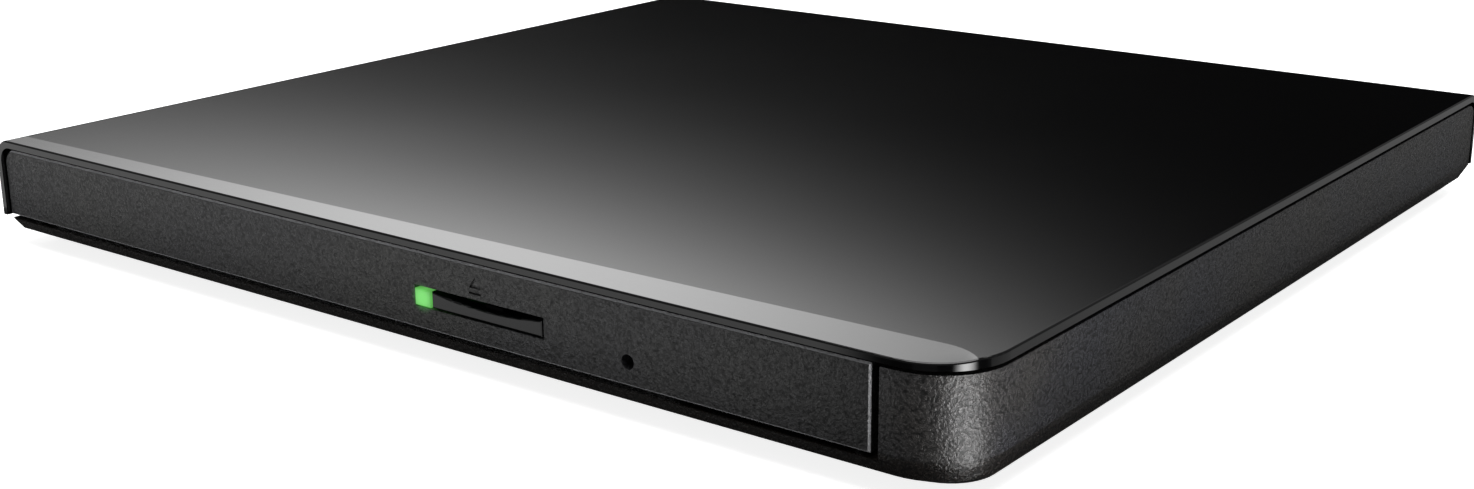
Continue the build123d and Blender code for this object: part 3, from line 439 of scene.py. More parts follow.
@dataclass(frozen=True)
class EdgedPlastic(PebbledPlastic):
    """The same plastic with a painted highlight on its chamfer, painted light on the floor of its sunk mark,
    and light spilt from a lamp in it.
    """

    low: Triple = (0.0, 0.0, 0.0)
    high: Triple = (1.0, 1.0, 1.0)
    chamfer: float = 0.00024
    # painted highlight colour of the chamfer
    pale: Colour = (0.6, 0.6, 0.62)
    mark: Triple = (0.0, 0.0, 0.0)
    mark_size: float = 0.0012
    mark_painted_light: Colour = (0.09, 0.09, 0.09)
    lamp: Triple = (0.0, 0.0, 0.0)
    spill: tuple[float, float] = (0.0009, 0.0021)
    spilt: Colour = (0.02, 0.1, 0.02)

    def work(self, bench: Bench) -> dict:
        """Add the chamfer's painted highlight, the sunk mark's painted light and the spilt light to the
        grain.

        Args:
            bench: The material's node tree.

        Returns:
            What varies, by the shader's input.
        """
        made = super().work(bench)
        x, y, z = bench.axes(bench.place())
        margin = self.chamfer * 1.5
        beside = (x - (self.low[0] + self.high[0]) / 2).size() - ((self.high[0] - self.low[0]) / 2 - margin)
        above = (z - (self.low[2] + self.high[2]) / 2).size() - ((self.high[2] - self.low[2]) / 2 - margin)
        border = beside.above(above).step(0.0, self.chamfer * 0.3)
        behind = y - self.low[1]
        depth = behind.step(0.0, self.chamfer * 0.25) * behind.step(self.chamfer * 1.15, self.chamfer * 0.9)
        off_x, off_z = (x - self.mark[0]).size(), (z - self.mark[2]).size()
        sunk = off_x.above(off_z).step(self.mark_size + 0.0001, self.mark_size) * behind.step(0.0002, 0.00025)
        # painted highlight: a band along the chamfer of the front's edges is painted pale
        with_chamfer_highlight = bench.tint(border * depth, made["Base Color"], self.pale)
        # painted light: the floor of the sunk mark is painted light grey
        made["Base Color"] = bench.tint(sunk * behind.step(0.0004, 0.00035), with_chamfer_highlight, self.mark_painted_light)
        away = bench.node(
            "ShaderNodeVectorMath", {"operation": "LENGTH"}, {0: bench.place(shift=self.lamp)}
        ).outputs["Value"]
        near = Wire(bench, away).step(self.spill[1], self.spill[0])
        made["Emission Color"] = bench.tint(near * near, (0.0, 0.0, 0.0), self.spilt)
        made["Emission Strength"] = 1.0
        return made


@dataclass(frozen=True)
class MouldedPlastic(Finish):
    """Plain moulded plastic with a fine spark-eroded face."""

    grain: float = 0.00018
    depth: float = 0.000008

    def work(self, bench: Bench) -> dict:
        """Fine texture, with the flow of the melt in its tone.

        Args:
            bench: The material's node tree.

        Returns:
            What varies, by the shader's input.
        """
        fine = bench.noise(bench.place(), self.grain, 2.0, 0.6)
        flow = bench.noise(bench.place(stretch=(1.0, 0.3, 1.0)), 0.02, 3.0)
        return {
            "Base Color": bench.tint(flow.step(0.3, 0.7), self.shade(0.82), self.shade(1.15)),
            "Roughness": self.roughness + (fine - 0.5) * 0.2 + (flow - 0.5) * 0.08,
            "Normal": bench.relief(fine, self.depth),
        }


@dataclass(frozen=True)
class LitWindow(Finish):
    """Clear green window in front of a light, brightest at its middle."""

    middle: Triple = (0.0, 0.0, 0.0)
    reach: float = 0.0012
    glow: Colour = (0.16, 0.6, 0.12)
    strength: float = 1.0

    def work(self, bench: Bench) -> dict:
        """A glow that fades from the middle outwards.

        Args:
            bench: The material's node tree.

        Returns:
            What varies, by the shader's input.
        """
        away = bench.node(
            "ShaderNodeVectorMath", {"operation": "LENGTH"}, {0: bench.place(shift=self.middle)}
        ).outputs["Value"]
        core = Wire(bench, away).step(self.reach * 1.6, self.reach * 0.3)
        return {
            "Base Color": bench.tint(core, self.shade(0.6), self.colour),
            "Emission Color": bench.tint(core, tuple(c * 0.45 for c in self.glow), self.glow),
            "Emission Strength": self.strength,
        }


class Grain(Enum):
    """Which way the rolling marks of a metal run."""

    ALONG = (1.0, 0.02, 1.0)
    ROUND = (1.0, 1.0, 1.0)


@dataclass(frozen=True)
class RolledMetal(Finish):
    """Sheet or bar metal with rolling marks and a faint bloom."""

    marks: Grain = Grain.ALONG
    width: float = 0.00008
    depth: float = 0.0000012
    bloom: Colour = (0.5, 0.49, 0.46)
    turn: float = 0.0

    def work(self, bench: Bench) -> dict:
        """Fine lines in the gloss, and patches of a duller tone.

        Args:
            bench: The material's node tree.

        Returns:
            What varies, by the shader's input.
        """
        lines = bench.noise(bench.place(stretch=self.marks.value, turn=self.turn), self.width, 3.0, 0.7)
        patch = bench.noise(bench.place(), 0.009, 4.0, 0.6).step(0.42, 0.66)
        return {
            "Base Color": bench.tint(patch * 0.55 + lines * 0.2, self.colour, self.bloom),
            "Roughness": self.roughness + (lines - 0.5) * 0.22 + patch * 0.1,
            "Normal": bench.relief(lines, self.depth),
        }


@dataclass(frozen=True)
class CastMetal(Finish):
    """Die-cast metal with a sandy skin."""

    def work(self, bench: Bench) -> dict:
        """Sand grain and faint stains.

        Args:
            bench: The material's node tree.

        Returns:
            What varies, by the shader's input.
        """
        sand = bench.noise(bench.place(), 0.00022, 3.0, 0.65)
        stain = bench.noise(bench.place(), 0.006, 3.0)
        return {
            "Base Color": bench.tint(stain, self.shade(0.75), self.shade(1.15)),
            "Roughness": self.roughness + (sand - 0.5) * 0.25,
            "Normal": bench.relief(sand, 0.00002),
        }


@dataclass(frozen=True)
class SolderMask(Finish):
    """Coated circuit board with tracks, pads and ground fill under the coat."""

    track: Colour = (0.02, 0.11, 0.055)
    pad: Colour = (0.75, 0.6, 0.3)
    pitch: float = 0.0009

    def work(self, bench: Bench) -> dict:
        """Tracks that run along either axis in patches, with plated holes between.

        Args:
            bench: The material's node tree.

        Returns:
            What varies, by the shader's input.
        """
        x, y, _ = bench.axes(bench.place())
        zone = bench.noise(bench.place(), 0.011, 0.0).step(0.49, 0.51)
        across = x * (1.0 - zone) + y * zone
        phase = bench.maths("FRACT", across / self.pitch + 100.0)
        track = (phase - 0.5).size().step(0.22, 0.16)
        gap = bench.noise(bench.place(), 0.004, 1.0).step(0.52, 0.5)
        hole = bench.cells(bench.place(), 0.0032, "F1", 0.8).step(0.13, 0.1)
        line = track * gap * (1.0 - hole)
        coat = bench.tint(line, self.colour, self.track)
        return {
            "Base Color": bench.tint(hole, coat, self.pad),
            "Metallic": hole * 0.9,
            "Roughness": self.roughness - hole * 0.1 + line * 0.05,
            "Normal": bench.relief(line + hole * 0.6, 0.00003),
        }


@dataclass(frozen=True)
class SmallParts(Finish):
    """Chip resistors and capacitors with plated ends, told apart by the mesh's own marks."""

    ends: Colour = (0.7, 0.69, 0.66)

    def work(self, bench: Bench) -> dict:
        """Plated ends, and bodies that vary from tan to black.

        Args:
            bench: The material's node tree.

        Returns:
            What varies, by the shader's input.
        """
        end = Wire(bench, bench.node("ShaderNodeAttribute", {"attribute_name": "plated"}).outputs["Fac"])
        kind = bench.noise(bench.place(), 0.003, 0.0).step(0.45, 0.55)
        body = bench.tint(kind, self.colour, (0.16, 0.1, 0.055))
        grit = bench.noise(bench.place(), 0.0001, 2.0)
        return {
            "Base Color": bench.tint(end, body, self.ends),
            "Metallic": end,
            "Roughness": self.roughness - end * 0.2,
            "Normal": bench.relief(grit, 0.000006),
        }


@dataclass(frozen=True)
class PrintedFilm(Finish):
    """Thin film printed with parallel conductors along Y."""

    pitch: float = 0.0005
    copper: Colour = (0.42, 0.2, 0.06)
    start: float = 0.0

    def work(self, bench: Bench) -> dict:
        """Conductors that show through the film.

        Args:
            bench: The material's node tree.

        Returns:
            What varies, by the shader's input.
        """
        x, _, _ = bench.axes(bench.place(shift=(self.start, 0.0, 0.0)))
        stripe = (bench.maths("FRACT", x / self.pitch + 50.0) - 0.5).size().step(0.34, 0.26)
        haze = bench.noise(bench.place(), 0.004, 2.0)
        return {
            "Base Color": bench.tint(stripe, self.colour, self.copper),
            "Roughness": self.roughness + (haze - 0.5) * 0.15,
            "Normal": bench.relief(stripe, 0.00001),
        }


@dataclass(frozen=True)
class BlankLabel(Finish):
    """Silvered film with a printed frame and empty fields, and no lettering."""

    low: Triple = (0.0, 0.0, 0.0)
    high: Triple = (1.0, 1.0, 1.0)
    ink: Colour = (0.03, 0.03, 0.035)
    line: float = 0.00035

    def rule(self, value: Wire, places: tuple[float, ...]) -> Wire:
        """Printed lines at some values of one coordinate.

        Args:
            value: The coordinate.
            places: Where the lines are.

        Returns:
            1 on a line.
        """
        total = (value - places[0]).size().step(self.line, self.line * 0.8)
        for place in places[1:]:
            total = total.above((value - place).size().step(self.line, self.line * 0.8))
        return total

    def work(self, bench: Bench) -> dict:
        """Frame, two fields and a soft crinkle.

        Args:
            bench: The material's node tree.

        Returns:
            What varies, by the shader's input.
        """
        x, y, _ = bench.axes(bench.place())
        edge = 0.0016
        wide, deep = self.high[0] - self.low[0], self.high[1] - self.low[1]
        upright = self.rule(x, (self.low[0] + edge, self.high[0] - edge, self.low[0] + wide * 0.62))
        level = self.rule(y, (self.low[1] + edge, self.high[1] - edge, self.low[1] + deep * 0.4))
        inside_x = (x - (self.low[0] + wide / 2)).size().step(wide / 2 - edge + self.line, wide / 2 - edge)
        inside_y = (y - (self.low[1] + deep / 2)).size().step(deep / 2 - edge + self.line, deep / 2 - edge)
        print_ = (upright * inside_y).above(level * inside_x)
        crinkle = bench.noise(bench.place(), 0.003, 3.0)
        return {
            "Base Color": bench.tint(print_, self.colour, self.ink),
            "Roughness": self.roughness + (crinkle - 0.5) * 0.2,
            "Normal": bench.relief(crinkle, 0.00001),
        }


@dataclass(frozen=True)
class SoftFoam(Finish):
    """Open-celled foam or soft rubber."""

    cell: float = 0.0004
    depth: float = 0.0001

    def work(self, bench: Bench) -> dict:
        """Open cells, darker in their pits.

        Args:
            bench: The material's node tree.

        Returns:
            What varies, by the shader's input.
        """
        pit = bench.cells(bench.place(), self.cell, "F1")
        return {
            "Base Color": bench.tint(pit.step(0.1, 0.6), self.shade(1.3), self.shade(0.5)),
            "Roughness": self.roughness - pit * 0.1,
            "Normal": bench.relief(pit, self.depth),
        }


@dataclass(frozen=True)
class CoatedGlass(Finish):
    """Small lens with a blue-violet coating."""

    middle: Triple = (0.0, 0.0, 0.0)
    rim: Colour = (0.02, 0.09, 0.12)
    reach: float = 0.002

    def work(self, bench: Bench) -> dict:
        """Coating that turns from violet at the middle to green at the rim.

        Args:
            bench: The material's node tree.

        Returns:
            What varies, by the shader's input.
        """
        away = bench.node(
            "ShaderNodeVectorMath", {"operation": "LENGTH"}, {0: bench.place(shift=self.middle)}
        ).outputs["Value"]
        out = Wire(bench, away).step(0.0, self.reach)
        return {
            "Base Color": bench.tint(out, self.colour, self.rim),
            "Coat Weight": 1.0,
            "Coat Roughness": 0.02,
        }


@dataclass(frozen=True)
class CardPaper(Finish):
    """Paper of the floor and the cards; a card may glow within a fan of directions from a pivot."""

    light: float = 0.0
    pivot: tuple[float, float] | None = None
    fan: tuple[float, float, float, float] = (0.0, 0.0, 0.0, 0.0)

    def work(self, bench: Bench) -> dict:
        """An even glow, or one that rises and falls round the pivot.

        Args:
            bench: The material's node tree.

        Returns:
            What varies, by the shader's input.
        """
        if self.pivot is None:
            return {"Emission Color": (1.0, 1.0, 1.0), "Emission Strength": self.light}
        x, y, _ = bench.axes(bench.place(shift=(*self.pivot, 0.0)))
        angle = bench.maths("ARCTAN2", x, -y) * math.degrees(1)
        rise, full, still, fall = self.fan
        glow = angle.step(rise, full) * angle.step(fall, still)
        return {
            "Emission Color": bench.tint(glow, (0.0, 0.0, 0.0), (1.0, 1.0, 1.0)),
            "Emission Strength": self.light,
        }


class Stock:
    """The finishes of the drive, by what they are used on."""

    plate = SatinPlate("satin_black_plate", (0.001, 0.001, 0.0011), 0.08, silk=0.03)
    case = PebbledPlastic(
        "pebbled_case",
        (0.014, 0.0145, 0.0175),
        0.29,
        grain=0.0003,
        depth=0.00012,
        warm=(0.016, 0.015, 0.014),
        # painted shadow along the case's lower edge, below 4.2 mm
        level=0.0042,
    )
    bar = MouldedPlastic("button_black", (0.0015, 0.0015, 0.0018), 0.16, ior=1.38, depth=0.0000006)
    resin = MouldedPlastic("lamp_resin", (0.1, 0.16, 0.1), 0.3, depth=0.000001)
    tray = MouldedPlastic("tray_black", (0.018, 0.018, 0.019), 0.5)
    mould = MouldedPlastic("moulded_black", (0.012, 0.012, 0.013), 0.42)
    ivory = MouldedPlastic("acetal_ivory", (0.62, 0.58, 0.48), 0.38)
    rubber = SoftFoam("grey_rubber", (0.035, 0.035, 0.036), 0.85, cell=0.00025, depth=0.00002)
    foam = SoftFoam("black_foam", (0.018, 0.018, 0.018), 0.95)
    sheet = RolledMetal("zinc_coated_sheet", (0.62, 0.63, 0.64), 0.34, 1.0)
    steel = RolledMetal("ground_steel", (0.66, 0.65, 0.63), 0.2, 1.0, marks=Grain.ROUND, width=0.00015)
    rail = RolledMetal("rail_steel", (0.6, 0.6, 0.59), 0.3, 1.0)
    screw = RolledMetal(
        "screw_black_zinc", (0.1, 0.1, 0.11), 0.32, 1.0, marks=Grain.ROUND, bloom=(0.16, 0.15, 0.14)
    )
    cast = CastMetal("cast_frame", (0.42, 0.42, 0.41), 0.45, 1.0)
    copper = RolledMetal(
        "enamelled_copper", (0.7, 0.26, 0.09), 0.28, 1.0, marks=Grain.ROUND, bloom=(0.5, 0.16, 0.05)
    )
    core = RolledMetal("core_laminations", (0.3, 0.3, 0.31), 0.4, 1.0, marks=Grain.ROUND)
    magnet = CastMetal("sintered_magnet", (0.06, 0.06, 0.065), 0.55, 0.6)
    gold = RolledMetal("gold_contact", (0.85, 0.6, 0.22), 0.22, 1.0, marks=Grain.ROUND, bloom=(0.7, 0.5, 0.2))
    board = SolderMask("solder_mask", (0.006, 0.055, 0.028), 0.32)
    chip = MouldedPlastic("chip_epoxy", (0.014, 0.014, 0.015), 0.55, grain=0.00012, depth=0.000012)
    parts = SmallParts("small_parts", (0.03, 0.028, 0.026), 0.5)
    # painted shade: near-black thin crosses on the screw heads stand in for the shade inside their recesses
    recess = MouldedPlastic("screw_recess_shade", (0.004, 0.004, 0.004), 0.7)


# ---------------------------------------------------------------- making and dressing pieces
def dress(finish: Finish, *nodes: str) -> None:
    """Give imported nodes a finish.

    Args:
        finish: The finish.
        nodes: Names of the nodes.
    """
    for name in nodes:
        shown = frame["nodes"][name]
        if not shown.material_slots:
            shown.data.materials.append(finish.material())
        for place in shown.material_slots:
            place.material = finish.material()
        log.info("%s: %s", name, finish.name)


def centre(node: str) -> Vector:
    """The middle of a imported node's box."""
    low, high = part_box(node)
    return (low + high) / 2


def settle(made: bpy.types.Object, body: str, slot: str, *nodes: str) -> bpy.types.Object:
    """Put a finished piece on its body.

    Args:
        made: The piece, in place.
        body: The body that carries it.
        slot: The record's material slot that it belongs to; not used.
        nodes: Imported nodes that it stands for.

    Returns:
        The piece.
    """
    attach(made, body)
    if nodes:
        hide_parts(*nodes)
    log.info("%s rides on %s, %d faces", made.name, body, len(made.data.polygons))
    return made


def solid(name: str, mesh: bpy.types.Mesh, finish: Finish) -> bpy.types.Object:
    """An object of a mesh, at the origin, in one finish.

    Args:
        name: Name of the piece.
        mesh: Its mesh, with its place in it.
        finish: Its finish.

    Returns:
        The piece.
    """
    mesh.materials.clear()
    mesh.materials.append(finish.material())
    made = bpy.data.objects.new(name, mesh)
    bpy.context.scene.collection.objects.link(made)
    return made


class Grower(Bench):
    """A Geometry Nodes tree with named inputs, run once and kept as a plain mesh."""

    def __init__(self, name: str) -> None:
        """Start a tree with a geometry input and output, and a material input.

        Args:
            name: Name of the tree.
        """
        super().__init__(bpy.data.node_groups.new(name, "GeometryNodeTree"))
        self.keys: dict[str, str] = {}
        face = self.tree.interface
        face.new_socket("Geometry", in_out="OUTPUT", socket_type="NodeSocketGeometry")
        face.new_socket("Geometry", in_out="INPUT", socket_type="NodeSocketGeometry")
        self.source = self.node("NodeGroupInput")
        self.finish = self.size("Finish", "NodeSocketMaterial")

    def size(self, name: str, kind: str = "NodeSocketFloat") -> bpy.types.NodeSocket:
        """A named input of the tree."""
        self.keys[name] = self.tree.interface.new_socket(name, in_out="INPUT", socket_type=kind).identifier
        return self.source.outputs[name]

    def wire(self, name: str) -> Wire:
        """A named number input, ready for arithmetic."""
        return Wire(self, self.size(name))

    def vector(self, x: "Wire | float", y: "Wire | float", z: "Wire | float") -> bpy.types.NodeSocket:
        """A vector of three numbers."""
        return self.node("ShaderNodeCombineXYZ", {}, {0: x, 1: y, 2: z}).outputs[0]

    def join(self, *parts: bpy.types.NodeSocket) -> bpy.types.NodeSocket:
        """Several geometries as one.

        Args:
            parts: The geometries.

        Returns:
            The joined geometry.
        """
        made = self.node("GeometryNodeJoinGeometry")
        for part in parts:
            self.tree.links.new(part, made.inputs[0])
        return made.outputs[0]

    def end(self, geometry: bpy.types.NodeSocket) -> None:
        """Realize the instances, set the material and close the tree.

        Args:
            geometry: What the tree makes.
        """
        real = self.node("GeometryNodeRealizeInstances", {}, {0: geometry}).outputs[0]
        dyed = self.node(
            "GeometryNodeSetMaterial", {}, {"Geometry": real, "Material": self.finish}
        ).outputs[0]
        self.node("NodeGroupOutput", {}, {0: dyed})

    def grow(
        self,
        name: str,
        finish: Finish,
        sizes: dict,
        host: bpy.types.Mesh | None = None,
        place: Matrix | None = None,
    ) -> bpy.types.Object:
        """Run the tree.

        Args:
            name: Name of the piece.
            finish: Its finish.
            sizes: Values of the tree's inputs, by name.
            host: Mesh that the tree starts from.
            place: Where the result goes.

        Returns:
            The piece as a plain mesh at the origin.
        """
        stand = bpy.data.objects.new(name + "_stand", host or bpy.data.meshes.new(name + "_host"))
        bpy.context.scene.collection.objects.link(stand)
        modifier = stand.modifiers.new("grow", "NODES")
        modifier.node_group = self.tree
        modifier[self.keys["Finish"]] = finish.material()
        for key, value in sizes.items():
            modifier[self.keys[key]] = value
        bpy.context.view_layer.update()
        graph = bpy.context.evaluated_depsgraph_get()
        mesh = bpy.data.meshes.new_from_object(stand.evaluated_get(graph), depsgraph=graph)
        stand.modifiers.clear()
        bpy.data.objects.remove(stand)
        if place is not None:
            mesh.transform(place)
        mesh.name = name
        return solid(name, mesh, finish)


class SpiralTree(Grower):
    """A wound wire, round a core bar if it has one, standing on the origin along +Z."""

    def __init__(self) -> None:
        """Build the tree."""
        super().__init__("wound_spiral")
        radius, wire, pitch = self.wire("Radius"), self.wire("Wire"), self.wire("Pitch")
        length, core = self.wire("Length"), self.wire("Core")
        line = self.node(
            "GeometryNodeCurveSpiral",
            {},
            {
                "Resolution": 20,
                "Rotations": length / pitch,
                "Start Radius": radius,
                "End Radius": radius,
                "Height": length,
            },
        ).outputs[0]
        ring = self.node(
            "GeometryNodeCurvePrimitiveCircle", {"mode": "RADIUS"}, {"Resolution": 6, "Radius": wire}
        ).outputs[0]
        wound = self.node(
            "GeometryNodeCurveToMesh", {}, {"Curve": line, "Profile Curve": ring, "Fill Caps": True}
        ).outputs[0]
        bar = self.node(
            "GeometryNodeMeshCylinder",
            {"fill_type": "NGON"},
            {"Vertices": 28, "Radius": core, "Depth": length},
        ).outputs[0]
        stood = self.node(
            "GeometryNodeTransform", {}, {"Geometry": bar, "Translation": self.vector(0.0, 0.0, length / 2)}
        ).outputs[0]
        some = self.maths("GREATER_THAN", core, 0.0)
        kept = self.node(
            "GeometryNodeSwitch", {"input_type": "GEOMETRY"}, {"Switch": some, "True": stood}
        ).outputs[0]
        self.end(self.join(wound, kept))


class RowTree(Grower):
    """Equal flat bars set out in a line."""

    def __init__(self) -> None:
        """Build the tree."""
        super().__init__("bar_row")
        count = self.size("Count", "NodeSocketInt")
        start, offset = self.size("Start", "NodeSocketVector"), self.size("Offset", "NodeSocketVector")
        bar = self.node("GeometryNodeMeshCube", {}, {"Size": self.size("Bar", "NodeSocketVector")}).outputs[0]
        line = self.node(
            "GeometryNodeMeshLine",
            {"mode": "OFFSET"},
            {"Count": count, "Start Location": start, "Offset": offset},
        ).outputs[0]
        self.end(self.node("GeometryNodeInstanceOnPoints", {}, {"Points": line, "Instance": bar}).outputs[0])


class CoilTree(Grower):
    """Wire loops stacked outwards along X, repeated round Z."""

    def __init__(self) -> None:
        """Build the tree."""
        super().__init__("tooth_coils")
        teeth, turns = self.size("Teeth", "NodeSocketInt"), self.size("Turns", "NodeSocketInt")
        tall, wide, wire = self.size("Tall"), self.size("Wide"), self.wire("Wire")
        inner, pitch = self.size("Inner"), self.size("Pitch")
        loop = self.node(
            "GeometryNodeCurvePrimitiveQuadrilateral", {"mode": "RECTANGLE"}, {"Width": tall, "Height": wide}
        ).outputs[0]
        soft = self.node(
            "GeometryNodeFilletCurve", {"mode": "POLY"}, {"Curve": loop, "Count": 3, "Radius": wire * 1.6}
        ).outputs[0]
        ring = self.node(
            "GeometryNodeCurvePrimitiveCircle", {"mode": "RADIUS"}, {"Resolution": 6, "Radius": wire}
        ).outputs[0]
        wound = self.node("GeometryNodeCurveToMesh", {}, {"Curve": soft, "Profile Curve": ring}).outputs[0]
        turned = self.node(
            "GeometryNodeTransform", {}, {"Geometry": wound, "Rotation": (0.0, math.pi / 2, 0.0)}
        ).outputs[0]
        line = self.node(
            "GeometryNodeMeshLine",
            {"mode": "OFFSET"},
            {
                "Count": turns,
                "Start Location": self.vector(inner, 0.0, 0.0),
                "Offset": self.vector(pitch, 0.0, 0.0),
            },
        ).outputs[0]
        stack = self.node("GeometryNodeInstanceOnPoints", {}, {"Points": line, "Instance": turned}).outputs[0]
        hub = self.node(
            "GeometryNodeMeshLine", {"mode": "OFFSET"}, {"Count": teeth, "Offset": (0.0, 0.0, 0.0)}
        )
        index = Wire(self, self.node("GeometryNodeInputIndex").outputs[0])
        angle = self.vector(0.0, 0.0, index * (2 * math.pi) / Wire(self, teeth))
        whole = self.node("GeometryNodeRealizeInstances", {}, {0: stack}).outputs[0]
        self.end(
            self.node(
                "GeometryNodeInstanceOnPoints",
                {},
                {"Points": hub.outputs[0], "Instance": whole, "Rotation": angle},
            ).outputs[0]
        )


class ScatterTree(Grower):
    """Small board parts strewn over the host's faces, with their plated ends marked."""

    def __init__(self) -> None:
        """Build the tree."""
        super().__init__("board_scatter")
        gap, density = self.size("Gap"), self.size("Density")
        long, lift = self.wire("Long"), self.wire("Lift")
        seed = self.size("Seed", "NodeSocketInt")
        points = self.node(
            "GeometryNodeDistributePointsOnFaces",
            {"distribute_method": "POISSON"},
            {
                "Mesh": self.source.outputs["Geometry"],
                "Distance Min": gap,
                "Density Max": density,
                "Seed": seed,
            },
        ).outputs[0]
        body = self.part(long * 0.62, long * 0.5, long * 0.34, 0.0, 0.0, lift)
        ends = [
            self.part(long * 0.2, long * 0.52, long * 0.36, long * 0.4 * side, 1.0, lift) for side in (-1, 1)
        ]
        turn = self.node("FunctionNodeRandomValue", {"data_type": "INT"}, {4: 0, 5: 3, 8: seed}).outputs[2]
        angle = self.vector(0.0, 0.0, Wire(self, turn) * (math.pi / 2))
        scale = self.node(
            "FunctionNodeRandomValue", {"data_type": "FLOAT"}, {2: 0.6, 3: 1.0, 8: seed}
        ).outputs[1]
        self.end(
            self.node(
                "GeometryNodeInstanceOnPoints",
                {},
                {"Points": points, "Instance": self.join(body, *ends), "Rotation": angle, "Scale": scale},
            ).outputs[0]
        )

    def part(
        self, x: Wire, y: Wire, z: Wire, shift: "Wire | float", plated: float, lift: Wire
    ) -> bpy.types.NodeSocket:
        """One block of a small part.

        Args:
            x: Its length.
            y: Its width.
            z: Its thickness.
            shift: Its place along the part.
            plated: 1 for a plated end.
            lift: 1 to stand on the board, -1 to hang from it.

        Returns:
            A geometry socket.
        """
        cube = self.node("GeometryNodeMeshCube", {}, {"Size": self.vector(x, y, z)}).outputs[0]
        moved = self.node(
            "GeometryNodeTransform",
            {},
            {"Geometry": cube, "Translation": self.vector(shift, 0.0, z * 0.5 * lift)},
        ).outputs[0]
        return self.node(
            "GeometryNodeStoreNamedAttribute",
            {"data_type": "FLOAT", "domain": "POINT"},
            {"Geometry": moved, "Name": "plated", "Value": plated},
        ).outputs[0]


class FringeTree(Grower):
    """Flat leads set along the host's loose edges."""

    def __init__(self) -> None:
        """Build the tree."""
        super().__init__("lead_fringe")
        pitch = self.size("Pitch")
        lead = self.node(
            "GeometryNodeMeshCube", {}, {"Size": self.size("Lead", "NodeSocketVector")}
        ).outputs[0]
        line = self.node("GeometryNodeMeshToCurve", {}, {0: self.source.outputs["Geometry"]}).outputs[0]
        even = self.node(
            "GeometryNodeResampleCurve", {"mode": "LENGTH"}, {"Curve": line, "Length": pitch}
        ).outputs[0]
        along = self.node("GeometryNodeInputTangent").outputs[0]
        turn = self.node("FunctionNodeAlignRotationToVector", {"axis": "X"}, {"Vector": along}).outputs[0]
        self.end(
            self.node(
                "GeometryNodeInstanceOnPoints", {}, {"Points": even, "Instance": lead, "Rotation": turn}
            ).outputs[0]
        )


class CrossTree(Grower):
    """A thin cross on each of the host's points, each turned its own way, that carries the painted shade of a
    screw's recess.
    """

    def __init__(self) -> None:
        """Build the tree."""
        super().__init__("cross_recess")
        long, wide, thick = self.wire("Long"), self.wire("Wide"), self.wire("Thick")
        seed = self.size("Seed", "NodeSocketInt")
        bars = [
            self.node("GeometryNodeMeshCube", {}, {"Size": self.vector(*sizes)}).outputs[0]
            for sizes in ((long, wide, thick), (wide, long, thick))
        ]
        turn = self.node(
            "FunctionNodeRandomValue", {"data_type": "FLOAT"}, {2: 0.0, 3: math.pi, 8: seed}
        ).outputs[1]
        self.end(
            self.node(
                "GeometryNodeInstanceOnPoints",
                {},
                {
                    "Points": self.source.outputs["Geometry"],
                    "Instance": self.join(*bars),
                    "Rotation": self.vector(0.0, 0.0, turn),
                },
            ).outputs[0]
        )


def islands(node: str) -> list[tuple[Vector, Vector]]:
    """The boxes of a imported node's separate solids.

    Args:
        node: Name of the node.

    Returns:
        Lowest and highest corner of each.
    """
    mesh = frame["nodes"][node].data
    spots = [tuple(round(c, 6) for c in v.co) for v in mesh.vertices]
    head = {spot: spot for spot in spots}

    def root(spot: Triple) -> Triple:
        """The spot that stands for the whole solid.

        Args:
            spot: Any spot of it.

        Returns:
            Its first spot.
        """
        while head[spot] != spot:
            head[spot] = head[head[spot]]
            spot = head[spot]
        return spot

    for face in mesh.polygons:
        first = root(spots[face.vertices[0]])
        for corner in face.vertices[1:]:
            head[root(spots[corner])] = first
    groups: dict[Triple, list[Triple]] = {}
    for spot in head:
        groups.setdefault(root(spot), []).append(spot)
    boxes = []
    for key in sorted(groups):
        found = groups[key]
        boxes.append((Vector(map(min, zip(*found))), Vector(map(max, zip(*found)))))
    return boxes


def flat_patches(areas: list[tuple[float, float, float, float]], z: float) -> bpy.types.Mesh:
    """Level rectangles.

    Args:
        areas: Lowest x and y, then highest x and y, of each.
        z: Their height.

    Returns:
        A mesh.
    """
    mesh = bpy.data.meshes.new("patches")
    corners, faces = [], []
    for x0, y0, x1, y1 in areas:
        start = len(corners)
        corners += [(x0, y0, z), (x1, y0, z), (x1, y1, z), (x0, y1, z)]
        faces.append(range(start, start + 4))
    mesh.from_pydata(corners, [], [list(face) for face in faces])
    return mesh


def box_sides(boxes: list[tuple[Vector, Vector]], out: float, inset: float, z: float) -> bpy.types.Mesh:
    """Loose edges beside the four sides of some boxes.

    Args:
        boxes: The boxes.
        out: How far outside each side.
        inset: What is left off at each end.
        z: Height of the edges.

    Returns:
        A mesh of edges.
    """
    corners, edges = [], []
    for low, high in boxes:
        for y in (low.y - out, high.y + out):
            corners += [(low.x + inset, y, z), (high.x - inset, y, z)]
        for x in (low.x - out, high.x + out):
            corners += [(x, low.y + inset, z), (x, high.y - inset, z)]
    edges = [(i, i + 1) for i in range(0, len(corners), 2)]
    mesh = bpy.data.meshes.new("sides")
    mesh.from_pydata(corners, edges, [])
    return mesh


